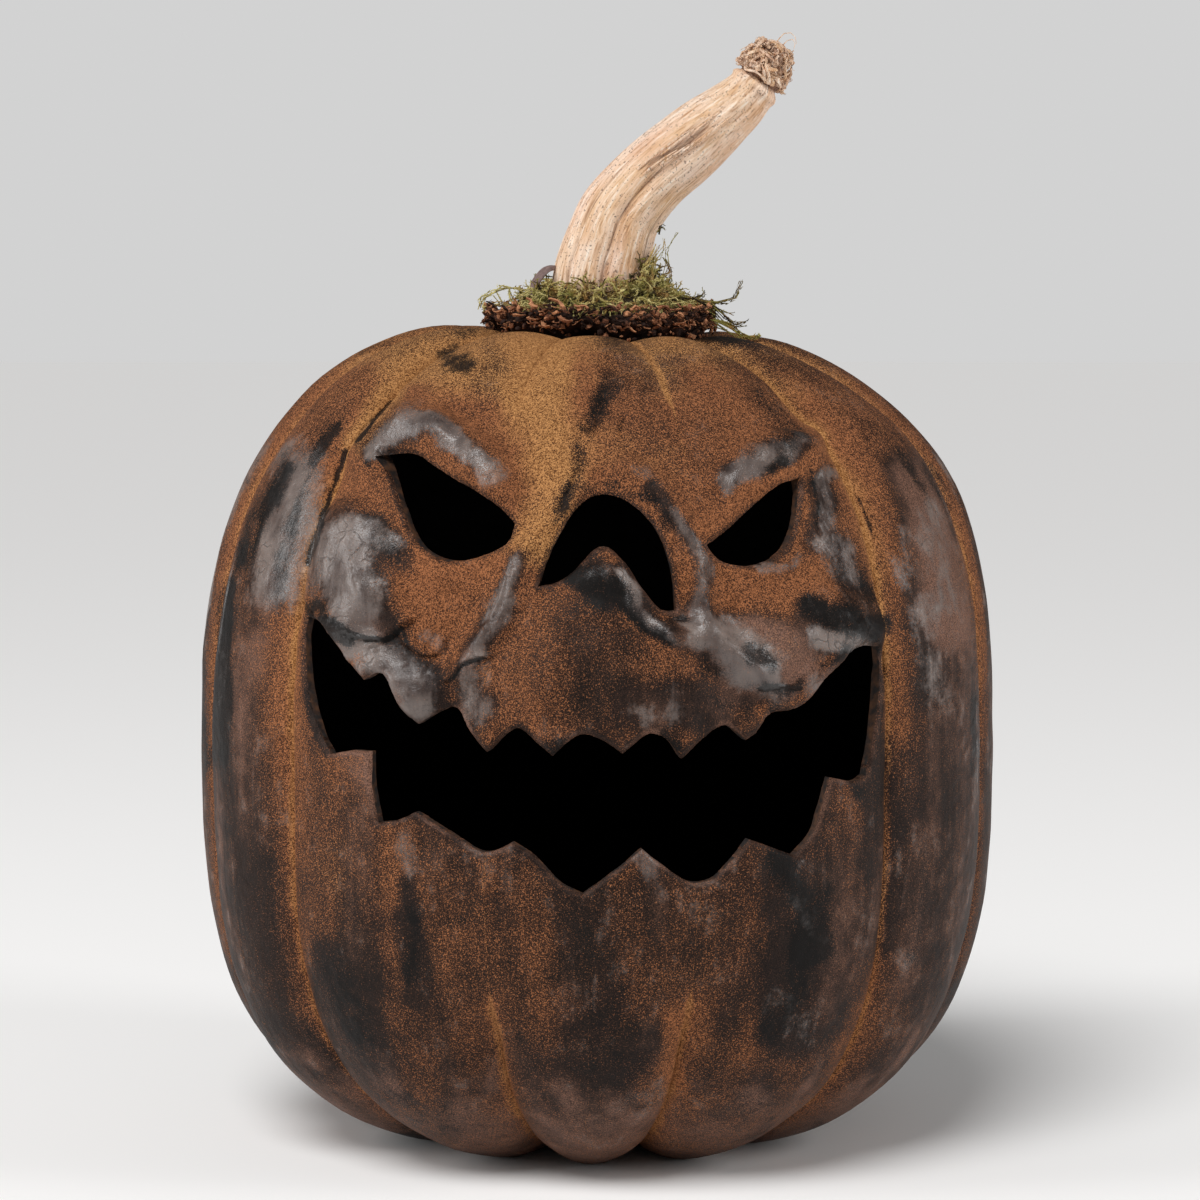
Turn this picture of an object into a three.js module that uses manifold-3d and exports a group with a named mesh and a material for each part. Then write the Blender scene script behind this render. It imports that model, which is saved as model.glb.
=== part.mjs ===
// A hollow carved pumpkin lantern: a moulded thin-walled shell with a cut face, a real dried
// stem on top, and a fibre mat and a ring of dry moss round the stem's foot.
// Millimetres, +Z up, the face looks along -Y, and the lantern stands on the plane z = 0.

import * as THREE from 'three';
import Module from 'manifold-3d';

const wasm = await Module();
wasm.setup();

// ---- Driving dimensions ----

const body = {
  radius: 150.3,        // half the width at the widest lobe
  flat: 0.97,           // front-to-back size over width
  axisX: -1,            // the shell's axis stands a little left of the stem
  middle: 146.4,        // height of the widest level
  rise: 163,            // from the widest level to the shoulders' top
  fall: 152,            // the lower half's own height, which the floor and the hollow foot cut short
  shoulder: 2.7,        // superellipse powers: 2 is round, more is boxier
  heel: 3,
  topDip: 20,           // hollow round the stem
  topDipRadius: 36,
  footDip: 16,          // hollow of the blossom end
  footDipRadius: 38,
  lean: 0.018,          // the sides rise to the right by this slope
  crownTilt: -0.035,    // and the crown falls to the right by this one, between two heights
  crownFrom: 250,
  crownTo: 300,
  footGroove: 1.7,      // the two front grooves are this much deeper under the face
  wall: 4,
};

// Moves the finished lantern so that the origin is in the middle of its box's foot. All else
// here is measured from the line that the shell and the stem were drawn on.
const toOrigin = [1.05, 3.75, 0];

// Rib grooves: azimuth in degrees (0 is the front, + is to the right), depth, and how many
// degrees the groove has drifted at the foot.
const grooves = [
  [-104, 7, 0], [-78, 6.5, 0], [-49, 8.5, 0], [-15, 6, 0], [14, 6, -3], [45.5, 8.5, 0],
  [77, 6.5, 0], [104, 7.5, 0], [134, 7, 2], [164.5, 8, 0], [195, 7, -2], [225.5, 7.5, 0],
];
const grooveSharpness = 0.6;

// The face was drawn on a flat card that stands on the lantern's axis, as an onlooker at "eye"
// sees it, and then carved through along the lines of sight. Face sizes are card millimetres:
// right and up from the point "aim".
const eye = new THREE.Vector3(0, -1500, 346.4);
const aim = new THREE.Vector3(0, 0, 201.4);

// Openings. A third value of 1 marks a sharp corner, and the edge runs smoothly elsewhere.
const openings = {
  leftEye: [
    [-81.5, 55, 1], [-76, 55.5], [-69, 55], [-58, 47.5], [-47.5, 41.5], [-39, 36], [-32.5, 29, 1],
    [-35, 22], [-43, 17.3], [-55, 14.5], [-65, 17.5], [-71.5, 25], [-77.5, 40],
  ],
  rightEye: [
    [40.5, 21, 1], [49.5, 28], [59, 36.5], [67, 43.5], [75.5, 46.5, 1], [76, 38], [74, 26.5],
    [69.5, 18], [63, 13.7], [55, 12.5], [46, 15],
  ],
  nose: [
    [-23.5, 5, 1], [-19.5, 17], [-14, 27.5], [-7, 36.5], [0, 40], [8, 38.5], [17, 32], [24, 22],
    [28, 9], [28.5, -4, 1], [23.5, -4], [17, 3], [11, 12], [5.5, 18.3], [1.5, 20], [-3, 18.3],
    [-11, 10], [-18, 6],
  ],
  mouth: [
    // upper edge, left to right: seven teeth
    [-111, -6.5, 1], [-104.5, -8.5], [-99, -14.5], [-94, -23.5], [-88.5, -30, 1], [-82.5, -27.3],
    [-78.5, -30], [-75, -41], [-69, -47, 1], [-60.5, -42], [-54.5, -40.8], [-49.5, -50],
    [-43, -57.5, 1], [-35, -50.5], [-30, -48.5], [-24, -53.5], [-17.5, -58.8, 1], [-11, -52.5],
    [-5.5, -50.3], [1, -53], [8.5, -58, 1], [14, -53], [18.5, -50.3], [25, -52.5], [30.5, -60, 1],
    [37, -54], [46, -47.7], [51, -49.5], [55.3, -53.2, 1], [60, -50], [65, -43], [73, -41.5],
    [80, -37], [88, -25.5], [96, -17.5], [105.5, -18, 1],
    // right end
    [107, -28], [105, -47], [101.5, -66.5, 1],
    // lower edge, right to left: five teeth
    [97, -69], [88, -67.3, 1], [85.5, -76], [81.5, -88.5], [74, -97, 1], [66, -94], [57, -91, 1],
    [50, -99.5], [42.5, -106], [34, -107], [25, -101.5], [16, -94.5, 1], [8, -101.5],
    [-6.5, -111.5, 1], [-15, -107.5], [-25, -97.5], [-33.5, -92, 1], [-39, -95], [-46, -95.3],
    [-55, -90], [-70.5, -80.5, 1], [-77, -83.7], [-84.5, -84.5, 1], [-87, -71],
    // left end
    [-87.5, -57.5, 1], [-95, -57.2], [-103, -58.5, 1], [-108, -48], [-111.5, -33], [-112, -18],
  ],
};

// Modelled relief of the face: a ridge or hollow along a path, with its half width and height.
const relief = [
  { path: [[-79, 62], [-73, 69], [-60, 62.5], [-46, 54], [-40.5, 45]], half: 9, high: 5.5 },
  { path: [[47, 44], [58, 53], [68, 57], [79, 54]], half: 9, high: 4.5 },
  { path: [[-96, 22], [-94, 8], [-86, -2]], half: 19, high: 7.5 },
  { path: [[-104, -3], [-92, -16], [-78, -24], [-62, -28]], half: 14, high: 5 },
  { path: [[-33, 14], [-38, 0], [-43, -16], [-48, -34]], half: 9, high: 4 },
  { path: [[-9, 40], [-20, 27], [-27, 14], [-32, -3]], half: 8, high: 5 },
  { path: [[10, 42], [22, 35], [31, 24], [38, 10], [41, -9]], half: 9, high: 5.5 },
  { path: [[-10, -30], [14, -30]], half: 42, high: 8 },
  { path: [[-1, 8], [0, -8]], half: 17, high: 5 },
  { path: [[56, -18], [74, -14], [88, -8]], half: 20, high: 7 },
  { path: [[62, 6], [76, 12]], half: 10, high: 3 },
  { path: [[3, 83], [-3, 68], [-10, 48], [-14, 37]], half: 5, high: -2.5 },
  { path: [[-58, 8], [-44, 9]], half: 8, high: 2.5 },
  { path: [[-60, -103], [-30, -113], [0, -122], [36, -118], [70, -108]], half: 12, high: 2 },
];

const stem = {
  // centre line on the card, with the stem's thickness there
  line: [
    [0, 88, 42], [0, 108, 39], [0, 122, 35], [3.3, 135, 33], [8, 147, 31], [19.2, 160.4, 29],
    [30.8, 170.1, 28], [41.5, 179, 25.5], [52.6, 188, 21.5], [58.5, 195, 18.5], [61, 201, 20.5],
    [63.5, 207, 20], [66, 212.5, 13],
  ],
  ribs: 5,
  ribHeight: 0.13,      // of the radius
  twist: 0.9,           // radians from foot to tip
  sides: 15,
  rings: 20,
};

const fibres = { count: 6, length: 12, thick: 1.4 };

const mat = { radius: 43, uneven: 3.5, top: 311.5, rim: 308, lump: 1.6, columns: 22 };

const moss = {
  inner: 13, outer: 38, uneven: 5, bottom: 307, top: 324, columns: 26, rows: 6,
  sprigs: 32, sprigLength: 17, sprigThick: 2.6,
  climbers: 6, climb: 32,       // strands that run up the stem's right side
};

const leaf = { length: 20, width: 10, thick: 0.9, foot: [-20, -6, 318], tilt: 0.5 };

const gap = 0.4;        // clear space between touching pieces
const deg = Math.PI / 180;

// ---- The onlooker's card ----

const sight = aim.clone().sub(eye);
const reach = sight.length();
sight.normalize();
const rightWard = new THREE.Vector3(1, 0, 0);
const upWard = rightWard.clone().cross(sight);

function onCard(point) {
  const ray = point.clone().sub(eye);
  const scale = reach / ray.dot(sight);
  return [ray.dot(rightWard) * scale, ray.dot(upWard) * scale];
}

// The point at depth y that the onlooker sees at (u, v) on the card.
function fromCard(u, v, y) {
  const ray = sight.clone().multiplyScalar(reach);
  ray.addScaledVector(rightWard, u).addScaledVector(upWard, v);
  return eye.clone().addScaledVector(ray, (y - eye.y) / ray.y);
}

function distanceToPath(u, v, path) {
  let nearest = Infinity;
  for (let i = 0; i + 1 < path.length; i++) {
    const [ax, ay] = path[i];
    const [bx, by] = path[i + 1];
    const along = ((u - ax) * (bx - ax) + (v - ay) * (by - ay)) / ((bx - ax) ** 2 + (by - ay) ** 2);
    const t = THREE.MathUtils.clamp(along, 0, 1);
    nearest = Math.min(nearest, Math.hypot(u - ax - t * (bx - ax), v - ay - t * (by - ay)));
  }
  return nearest;
}

function reliefAt(point) {
  if (point.y > -40) return 0;
  const [u, v] = onCard(point);
  let height = 0;
  for (const form of relief) {
    const away = distanceToPath(u, v, form.path) / form.half;
    if (away < 1) height += form.high * (1 - away * away) ** 2;
  }
  return height;
}

// ---- The shell's skin ----

// Half the upright section from the foot's centre to the top's centre, at even arc steps.
function makeSection(samples) {
  const raw = [];
  for (let i = 0; i <= samples; i++) {
    const t = Math.PI * (i / samples - 0.5);
    const upper = t > 0;
    const power = 2 / (upper ? body.shoulder : body.heel);
    const r = body.radius * Math.abs(Math.cos(t)) ** power;
    const reachUp = (upper ? body.rise : body.fall) * Math.abs(Math.sin(t)) ** power;
    const topDip = body.topDip * Math.exp(-((r / body.topDipRadius) ** 2));
    const footDip = body.footDip * Math.exp(-((r / body.footDipRadius) ** 2));
    const z = upper ? body.middle + reachUp - topDip : body.middle - reachUp + footDip;
    raw.push(new THREE.Vector2(r, z));
  }
  return raw;
}

const section = makeSection(1600);
const sectionLength = [0];
for (let i = 1; i < section.length; i++) {
  sectionLength.push(sectionLength[i - 1] + section[i].distanceTo(section[i - 1]));
}
const sectionTotal = sectionLength.at(-1);

// Radius, height and outward normal of the section at a share (0 foot, 1 top) of its length.
function sectionAt(share) {
  const wanted = THREE.MathUtils.clamp(share, 0, 1) * sectionTotal;
  let low = 0;
  let high = section.length - 1;
  while (high - low > 1) {
    const half = (low + high) >> 1;
    if (sectionLength[half] > wanted) high = half;
    else low = half;
  }
  const step = sectionLength[high] - sectionLength[low];
  const t = step > 0 ? (wanted - sectionLength[low]) / step : 0;
  const point = section[low].clone().lerp(section[high], t);
  const along = section[Math.min(high + 4, section.length - 1)].clone();
  along.sub(section[Math.max(low - 4, 0)]).normalize();
  return { r: point.x, z: point.y, nr: along.y, nz: -along.x };
}

// The share of the section's length at a height on its upright side.
function shareAtHeight(z) {
  let low = 0.2;
  let high = 0.8;
  for (let i = 0; i < 24; i++) {
    const half = (low + high) / 2;
    if (sectionAt(half).z > z) high = half;
    else low = half;
  }
  return low;
}

function grooveAzimuth(index, share) {
  const turns = Math.floor(index / grooves.length);
  const [azimuth, , drift] = grooves[index - turns * grooves.length];
  return azimuth + 360 * turns + drift * Math.max(0, 1 - 2 * share);
}

// Which rib an azimuth falls on, and how far across it from 0 to 1.
function ribAt(azimuth, share) {
  let angle = azimuth;
  while (angle < grooveAzimuth(0, share)) angle += 360;
  while (angle >= grooveAzimuth(grooves.length, share)) angle -= 360;
  let rib = 0;
  while (angle >= grooveAzimuth(rib + 1, share)) rib++;
  const from = grooveAzimuth(rib, share);
  return { rib, across: (angle - from) / (grooveAzimuth(rib + 1, share) - from) };
}

// The two front grooves die out where the face is.
function grooveDepth(index, share) {
  const [azimuth, depth] = grooves[index % grooves.length];
  if (Math.abs(azimuth) > 30) return depth;
  const aboveFace = THREE.MathUtils.smoothstep(share, 0.72, 0.8);
  const belowFace = 1 - THREE.MathUtils.smoothstep(share, 0.3, 0.38);
  return depth * Math.max(aboveFace, belowFace * body.footGroove);
}

function skin(azimuth, share, lift = 0, carved = true) {
  const { r, z, nr, nz } = sectionAt(share);
  const { rib, across } = ribAt(azimuth, share);
  const swell = Math.sin(Math.PI * across) ** grooveSharpness;
  const depth = THREE.MathUtils.lerp(grooveDepth(rib, share), grooveDepth(rib + 1, share), across);
  const fade = Math.min(1, r / 60) * (0.8 + 0.5 * (2 * share - 1) ** 2);
  const place = (offset) => {
    const radius = Math.max(0, r + offset * nr);
    const x = radius * Math.sin(azimuth * deg) + body.axisX;
    const y = -radius * Math.cos(azimuth * deg) * body.flat;
    const level = z + offset * nz;
    const tall = body.middle + body.rise;
    const bow = Math.sin(Math.PI * THREE.MathUtils.clamp(level / tall, 0, 1));
    const crown = THREE.MathUtils.smoothstep(level, body.crownFrom, body.crownTo);
    return new THREE.Vector3(x, y, level + x * (body.lean * bow + body.crownTilt * crown));
  };
  const offset = lift - depth * (1 - swell) * fade;
  const point = place(offset);
  const shaped = carved ? place(offset + reliefAt(point)) : point;
  shaped.z = Math.max(shaped.z, lift < 0 ? body.wall : 0);
  return shaped;
}

// Where the line of sight through (u, v) meets the skin.
function seenOnSkin(u, v) {
  let point = fromCard(u, v, -130);
  for (let i = 0; i < 20; i++) {
    const x = point.x - body.axisX;
    const azimuth = Math.atan2(x, -point.y / body.flat) / deg;
    const bow = body.lean * point.x * Math.sin(Math.PI * point.z / (body.middle + body.rise));
    const there = skin(azimuth, shareAtHeight(point.z - bow));
    const scale = Math.hypot(there.x - body.axisX, there.y) / Math.hypot(x, point.y);
    point = fromCard(u, v, point.y * (1 + 0.8 * (scale - 1)));
  }
  return point;
}

// ---- Closed meshes ----

// A closed mesh through rings of points, with flat fans or the given triangles as its ends.
function loft(rings, endFaces) {
  const count = rings[0].length;
  const points = rings.flat();
  const faces = [];
  for (let row = 0; row + 1 < rings.length; row++) {
    for (let i = 0; i < count; i++) {
      const a = row * count + i;
      const b = row * count + (i + 1) % count;
      if ((row + i) % 2) faces.push(a, b, b + count, a, b + count, a + count);
      else faces.push(a, b, a + count, b, b + count, a + count);
    }
  }
  const last = (rings.length - 1) * count;
  if (endFaces) {
    for (const [a, b, c] of endFaces) faces.push(c, b, a, last + a, last + b, last + c);
  } else {
    for (const [start, flip] of [[0, true], [last, false]]) {
      const centre = new THREE.Vector3();
      for (let i = 0; i < count; i++) centre.addScaledVector(points[start + i], 1 / count);
      const tip = points.push(centre) - 1;
      for (let i = 0; i < count; i++) {
        const a = start + i;
        const b = start + (i + 1) % count;
        faces.push(...(flip ? [b, a, tip] : [a, b, tip]));
      }
    }
  }
  const geometry = new THREE.BufferGeometry().setFromPoints(points);
  geometry.setIndex(faces);
  return geometry;
}

function toSolid(geometry) {
  const vertProperties = new Float32Array(geometry.getAttribute('position').array);
  const triVerts = new Uint32Array(geometry.getIndex().array);
  return new wasm.Manifold(new wasm.Mesh({ numProp: 3, vertProperties, triVerts }));
}

// The largest body of a cut solid; crumbs that a cut leaves behind are dropped.
function mainBody(solid) {
  return solid.decompose().sort((a, b) => b.volume() - a.volume())[0];
}

function toMesh(name, solid, material) {
  const { vertProperties, triVerts } = mainBody(solid).translate(toOrigin).getMesh();
  const geometry = new THREE.BufferGeometry();
  geometry.setAttribute('position', new THREE.BufferAttribute(vertProperties, 3));
  geometry.setIndex(new THREE.BufferAttribute(triVerts, 1));
  geometry.computeVertexNormals();
  const mesh = new THREE.Mesh(geometry, material);
  mesh.name = name;
  return mesh;
}

// Repeatable scatter: a share from 0 to 1 for each seed.
function scatter(seed) {
  const wave = Math.sin(seed * 127.1 + 11.7) * 43758.5453;
  return wave - Math.floor(wave);
}

// ---- The shell ----

// Shares of the section where rings lie, closer together over the face.
function ringShares(faceStep, plainStep) {
  const shares = [];
  let share = 0.988;
  while (share > 0.02) {
    shares.unshift(share);
    const { z } = sectionAt(share);
    const onFace = share < 0.76 && z > 80;
    share -= (onFace ? faceStep : plainStep) / sectionTotal;
  }
  shares.unshift(0.012);
  return shares;
}

function ribbedBody(lift, faceSize, plainSize, carved) {
  const columns = [];
  for (let rib = 0; rib < grooves.length; rib++) {
    const span = grooveAzimuth(rib + 1, 0.5) - grooveAzimuth(rib, 0.5);
    const onFace = Math.abs(grooveAzimuth(rib, 0.5) + span / 2) < 40;
    const steps = Math.round(span * deg * body.radius / (onFace ? faceSize : plainSize));
    for (let i = 0; i < steps; i++) columns.push({ rib, across: i / steps });
  }
  const rings = ringShares(faceSize, plainSize * 0.85).map((share) => columns.map((column) => {
    const from = grooveAzimuth(column.rib, share);
    const to = grooveAzimuth(column.rib + 1, share);
    return skin(THREE.MathUtils.lerp(from, to, column.across), share, lift, carved);
  }));
  return toSolid(loft(rings));
}

// Corners stay sharp, and the points between two corners lie on one smooth curve.
function smoothOutline(points, stepsPerSpan) {
  const outline = [];
  const closed = [...points, points[0]];
  let run = [];
  closed.forEach(([u, v, corner], index) => {
    run.push(new THREE.Vector3(u, v, 0));
    if (run.length === 1 || !(corner || index === closed.length - 1)) return;
    const curve = new THREE.CatmullRomCurve3(run, false, 'centripetal');
    const steps = run.length > 2 ? stepsPerSpan * (run.length - 1) : 1;
    for (let i = 0; i < steps; i++) outline.push(curve.getPoint(i / steps));
    run = [run.at(-1)];
  });
  return outline.map((point) => [point.x, point.y]);
}

// The tool that cuts one opening: square to the wall near the skin, along the sight outside.
function openingCutter(points) {
  const flat = smoothOutline(points, 1).map(([u, v]) => new THREE.Vector2(u, v));
  if (THREE.ShapeUtils.isClockWise(flat)) flat.reverse();
  const onSkin = flat.map(({ x, y }) => seenOnSkin(x, y));
  const fromAxis = (point, scale) => new THREE.Vector3(
    body.axisX + (point.x - body.axisX) * scale, point.y * scale, point.z);
  const rings = [
    onSkin.map((point) => fromAxis(point, 0.8)),
    onSkin.map((point) => fromAxis(point, 1.1)),
    flat.map(({ x, y }) => fromCard(x, y, -260)),
  ];
  return toSolid(loft(rings, THREE.ShapeUtils.triangulateShape(flat, [])));
}

const raised = ribbedBody(gap, 8, 23, true);
let shell = ribbedBody(0, 8, 23, true).subtract(ribbedBody(-body.wall, 16, 28, false));
for (const points of Object.values(openings)) shell = shell.subtract(openingCutter(points));

// ---- The stem ----

const stemLine = new THREE.CatmullRomCurve3(stem.line.map(([u, v]) => fromCard(u, v, 0)));
const stemWidth = new THREE.CatmullRomCurve3(
  stem.line.map(([, , thick], index) => new THREE.Vector3(index, thick, 0)));

function stemRings(grow) {
  const frames = stemLine.computeFrenetFrames(stem.rings);
  return Array.from({ length: stem.rings + 1 }, (_, ring) => {
    const t = ring / stem.rings;
    const centre = stemLine.getPointAt(t);
    const along = stemLine.getUtoTmapping(t);
    const radius = stemWidth.getPoint(along).y / 2;
    const knob = THREE.MathUtils.smoothstep(t, 0.86, 0.92);
    const ring3d = [];
    for (let i = 0; i < stem.sides; i++) {
      const angle = 2 * Math.PI * i / stem.sides;
      const rib = Math.abs(Math.cos(stem.ribs * angle / 2 + stem.twist * t)) - 0.55;
      const lump = 0.12 * knob * Math.sin(3 * angle + 9 * t);
      const size = radius * (1 + stem.ribHeight * rib * (1 - knob) + lump) + grow;
      const point = centre.clone();
      point.addScaledVector(frames.normals[ring], size * Math.cos(angle));
      point.addScaledVector(frames.binormals[ring], size * Math.sin(angle));
      ring3d.push(point);
    }
    return ring3d;
  });
}

// A thin tapering strand along a curve, with few sides.
function strand(points, thick, sides, steps) {
  const curve = new THREE.CatmullRomCurve3(points);
  const frames = curve.computeFrenetFrames(steps);
  const rings = Array.from({ length: steps + 1 }, (_, step) => {
    const t = step / steps;
    const radius = thick / 2 * (1 - 0.75 * t);
    return Array.from({ length: sides }, (_, i) => curve.getPointAt(t)
      .addScaledVector(frames.normals[step], radius * Math.cos(2 * Math.PI * i / sides))
      .addScaledVector(frames.binormals[step], radius * Math.sin(2 * Math.PI * i / sides)));
  });
  return toSolid(loft(rings));
}

let stemSolid = toSolid(loft(stemRings(0))).subtract(raised);
const stemTip = stemLine.getPoint(1);
for (let i = 0; i < fibres.count; i++) {
  const turn = 2 * Math.PI * i / fibres.count + scatter(i);
  const side = new THREE.Vector3(Math.cos(turn), Math.sin(turn), 0);
  const start = stemTip.clone().addScaledVector(side, 3).add(new THREE.Vector3(0, 0, -5));
  const middle = start.clone().addScaledVector(side, 3).add(new THREE.Vector3(1, 0, 6));
  const end = middle.clone().addScaledVector(side, 3 * (scatter(i + 20) - 0.2));
  end.add(new THREE.Vector3(2, 0, fibres.length * 0.4 * scatter(i + 40)));
  stemSolid = stemSolid.add(strand([start, middle, end], fibres.thick, 4, 3));
}
const stemGrown = toSolid(loft(stemRings(gap)));

// ---- The fibre mat ----

// The height of the shell's top at a distance from the axis, along an azimuth.
function topHeight(azimuth, distance) {
  let low = 0.7;
  let high = 1;
  for (let i = 0; i < 20; i++) {
    const half = (low + high) / 2;
    const there = skin(azimuth, half, 0, false);
    if (Math.hypot(there.x - body.axisX, there.y / body.flat) > distance) low = half;
    else high = half;
  }
  return skin(azimuth, low, 0, false).z;
}

function onTop(angle, distance, height) {
  const x = distance * Math.cos(angle);
  const y = distance * Math.sin(angle);
  const azimuth = Math.atan2(x - body.axisX, -y / body.flat) / deg;
  const away = Math.hypot(x - body.axisX, y / body.flat);
  return new THREE.Vector3(x, y, topHeight(azimuth, away) + height);
}

// A flat-topped pad whose underside sits on the skin.
function matSolid(grow) {
  const edge = (i) => mat.radius + grow + mat.uneven * (2 * scatter(i + 60) - 1);
  const point = (i, share, level) => {
    const angle = 2 * Math.PI * i / mat.columns;
    const x = edge(i) * share * Math.cos(angle);
    return new THREE.Vector3(x, edge(i) * share * Math.sin(angle), level(i, share));
  };
  const under = (i, share) => onTop(2 * Math.PI * i / mat.columns, edge(i) * share, -5).z;
  const over = (height) => (i, share) => height + grow + mat.lump * (scatter(i * 3 + share * 50) - 0.5);
  const ring = (share, level) => Array.from({ length: mat.columns }, (_, i) => point(i, share, level));
  return toSolid(loft([
    ring(0.3, under), ring(0.97, under), ring(1, over((mat.rim + mat.top) / 2 - 3)),
    ring(0.92, over(mat.rim)), ring(0.7, over(mat.top)), ring(0.3, over(mat.top)),
  ]));
}

const matBody = matSolid(0).subtract(raised).subtract(stemGrown);

// ---- The dry leaf ----

// A curled leaf: both faces of the sheet are split alike.
function leafSolid(grow) {
  const foot = new THREE.Vector3(...leaf.foot);
  const rings = [];
  const steps = 5;
  for (let step = 0; step <= steps; step++) {
    const t = step / steps * (1 + 4 * grow / leaf.length) - 2 * grow / leaf.length;
    const half = leaf.width / 2 * Math.sin(Math.PI * (0.12 + 0.8 * t)) + grow;
    const middle = foot.clone().add(new THREE.Vector3(
      -leaf.length * 0.45 * t * t, -2 * t, leaf.length * 0.55 * Math.sin(t * 1.9)));
    const front = [];
    const back = [];
    for (const side of [-1, 0, 1]) {
      const curl = 3.2 * side * side + 0.8 * Math.sin(5 * t + 2 * side);
      const at = middle.clone().add(new THREE.Vector3(0.5 * half * side - curl * leaf.tilt, half * side, curl * 0.5));
      front.push(at.clone().add(new THREE.Vector3(leaf.thick / 2 + grow, 0, 0)));
      back.push(at.clone().add(new THREE.Vector3(-leaf.thick / 2 - grow, 0, 0)));
    }
    rings.push([...front, ...back.reverse()]);
  }
  return toSolid(loft(rings));
}

// ---- The moss ring ----

function mossCore() {
  const rings = [];
  for (let column = 0; column < moss.columns; column++) {
    const angle = 2 * Math.PI * column / moss.columns;
    const outer = moss.outer + moss.uneven * Math.sin(3 * angle + 1) * 0.6
      + moss.uneven * (scatter(column + 200) - 0.5);
    const middle = (moss.inner + outer) / 2;
    const half = (outer - moss.inner) / 2;
    const ring = [];
    for (let row = 0; row < moss.rows; row++) {
      const turn = 2 * Math.PI * row / moss.rows;
      const lump = 0.8 + 0.4 * scatter(column * 7 + row * 13);
      const out = middle + half * Math.cos(turn) * (0.85 + 0.15 * lump);
      const level = THREE.MathUtils.lerp(moss.bottom, moss.top, 0.5 + 0.5 * Math.sin(turn) * lump);
      ring.push(new THREE.Vector3(out * Math.cos(angle), out * Math.sin(angle), level));
    }
    rings.push(ring);
  }
  return ringSolid(rings);
}

// A closed ring of sections: the last section joins the first.
function ringSolid(rings) {
  const count = rings[0].length;
  const faces = [];
  rings.forEach((_, row) => {
    const next = (row + 1) % rings.length;
    for (let i = 0; i < count; i++) {
      const a = row * count + i;
      const b = row * count + (i + 1) % count;
      const c = next * count + i;
      const d = next * count + (i + 1) % count;
      faces.push(a, d, b, a, c, d);
    }
  });
  const geometry = new THREE.BufferGeometry().setFromPoints(rings.flat());
  geometry.setIndex(faces);
  return toSolid(geometry);
}

// A sprig that arches outward; the longest lie on the right.
function mossSprig(index) {
  const angle = 2 * Math.PI * (index + scatter(index + 300) * 0.8) / moss.sprigs;
  const start = moss.inner + 6 + (moss.outer - moss.inner - 8) * scatter(index + 400);
  const length = moss.sprigLength * (0.6 + 0.6 * scatter(index + 500)) * (1 + 0.35 * Math.cos(angle));
  const swing = 1.4 * (scatter(index + 600) - 0.5);
  const points = [0, 0.35, 0.7, 1].map((t) => {
    const out = start + length * t * 0.75;
    const turn = angle + swing * t * 0.45;
    const rise = length * (0.7 * t - 0.75 * t * t) + 3 * scatter(index + 700 + t * 10);
    const level = THREE.MathUtils.lerp(moss.bottom, moss.top, 0.45) + rise;
    return new THREE.Vector3(out * Math.cos(turn), out * Math.sin(turn), level);
  });
  return strand(points, moss.sprigThick, 4, 3);
}

function mossClimber(index) {
  const angle = 0.9 * (index / (moss.climbers - 1) - 0.6);
  const tall = moss.climb * (0.6 + 0.4 * scatter(index + 800));
  const points = [0, 0.4, 0.75, 1].map((t) => {
    const out = moss.inner + 8 + 7 * t + 3 * Math.sin(5 * t + index);
    return new THREE.Vector3(out * Math.cos(angle), out * Math.sin(angle), moss.top - 8 + tall * t);
  });
  return strand(points, moss.sprigThick * 1.6, 4, 3);
}

let mossSolid = mossCore();
for (let i = 0; i < moss.sprigs; i++) mossSolid = mossSolid.add(mossSprig(i));
for (let i = 0; i < moss.climbers; i++) mossSolid = mossSolid.add(mossClimber(i));
mossSolid = mossSolid.subtract(raised).subtract(stemGrown).subtract(matSolid(gap)).subtract(leafSolid(gap));

// ---- The lantern ----

const finish = (color, roughness) => new THREE.MeshStandardMaterial({ color, roughness, metalness: 0 });

const lantern = new THREE.Group();
lantern.add(
  toMesh('shell', shell, finish(0x5a3a28, 0.7)),
  toMesh('stem', stemSolid, finish(0xd2ab8a, 0.85)),
  toMesh('fibre_mat', matBody, finish(0x4a2a18, 0.95)),
  toMesh('moss', mossSolid, finish(0x6b6a35, 0.95)),
  toMesh('dry_leaf', leafSolid(0), finish(0x3a2a2c, 0.8)),
);

export default lantern;
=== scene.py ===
import math
import random

import bpy
import numpy as np
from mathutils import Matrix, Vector, noise
from mathutils.bvhtree import BVHTree


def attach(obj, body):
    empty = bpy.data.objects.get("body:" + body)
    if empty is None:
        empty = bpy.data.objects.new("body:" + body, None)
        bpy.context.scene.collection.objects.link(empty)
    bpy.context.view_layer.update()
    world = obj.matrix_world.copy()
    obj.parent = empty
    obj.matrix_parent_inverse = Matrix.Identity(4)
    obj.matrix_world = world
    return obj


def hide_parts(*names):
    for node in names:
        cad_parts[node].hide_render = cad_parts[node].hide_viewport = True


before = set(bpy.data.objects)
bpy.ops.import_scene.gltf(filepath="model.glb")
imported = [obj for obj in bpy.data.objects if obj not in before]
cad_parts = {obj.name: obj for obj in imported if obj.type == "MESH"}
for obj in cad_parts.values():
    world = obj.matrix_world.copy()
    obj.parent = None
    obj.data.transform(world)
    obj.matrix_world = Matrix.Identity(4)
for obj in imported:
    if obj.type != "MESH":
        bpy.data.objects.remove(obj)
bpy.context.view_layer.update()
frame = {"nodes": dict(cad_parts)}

mm = 0.001  # every size below is in millimetres until it becomes a mesh
toOrigin = np.array([1.05, 3.75, 0.0])  # from the axis all is drawn on to the footprint's centre
random.seed(31)
print("frame loaded:", ", ".join(frame["nodes"]))


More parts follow.
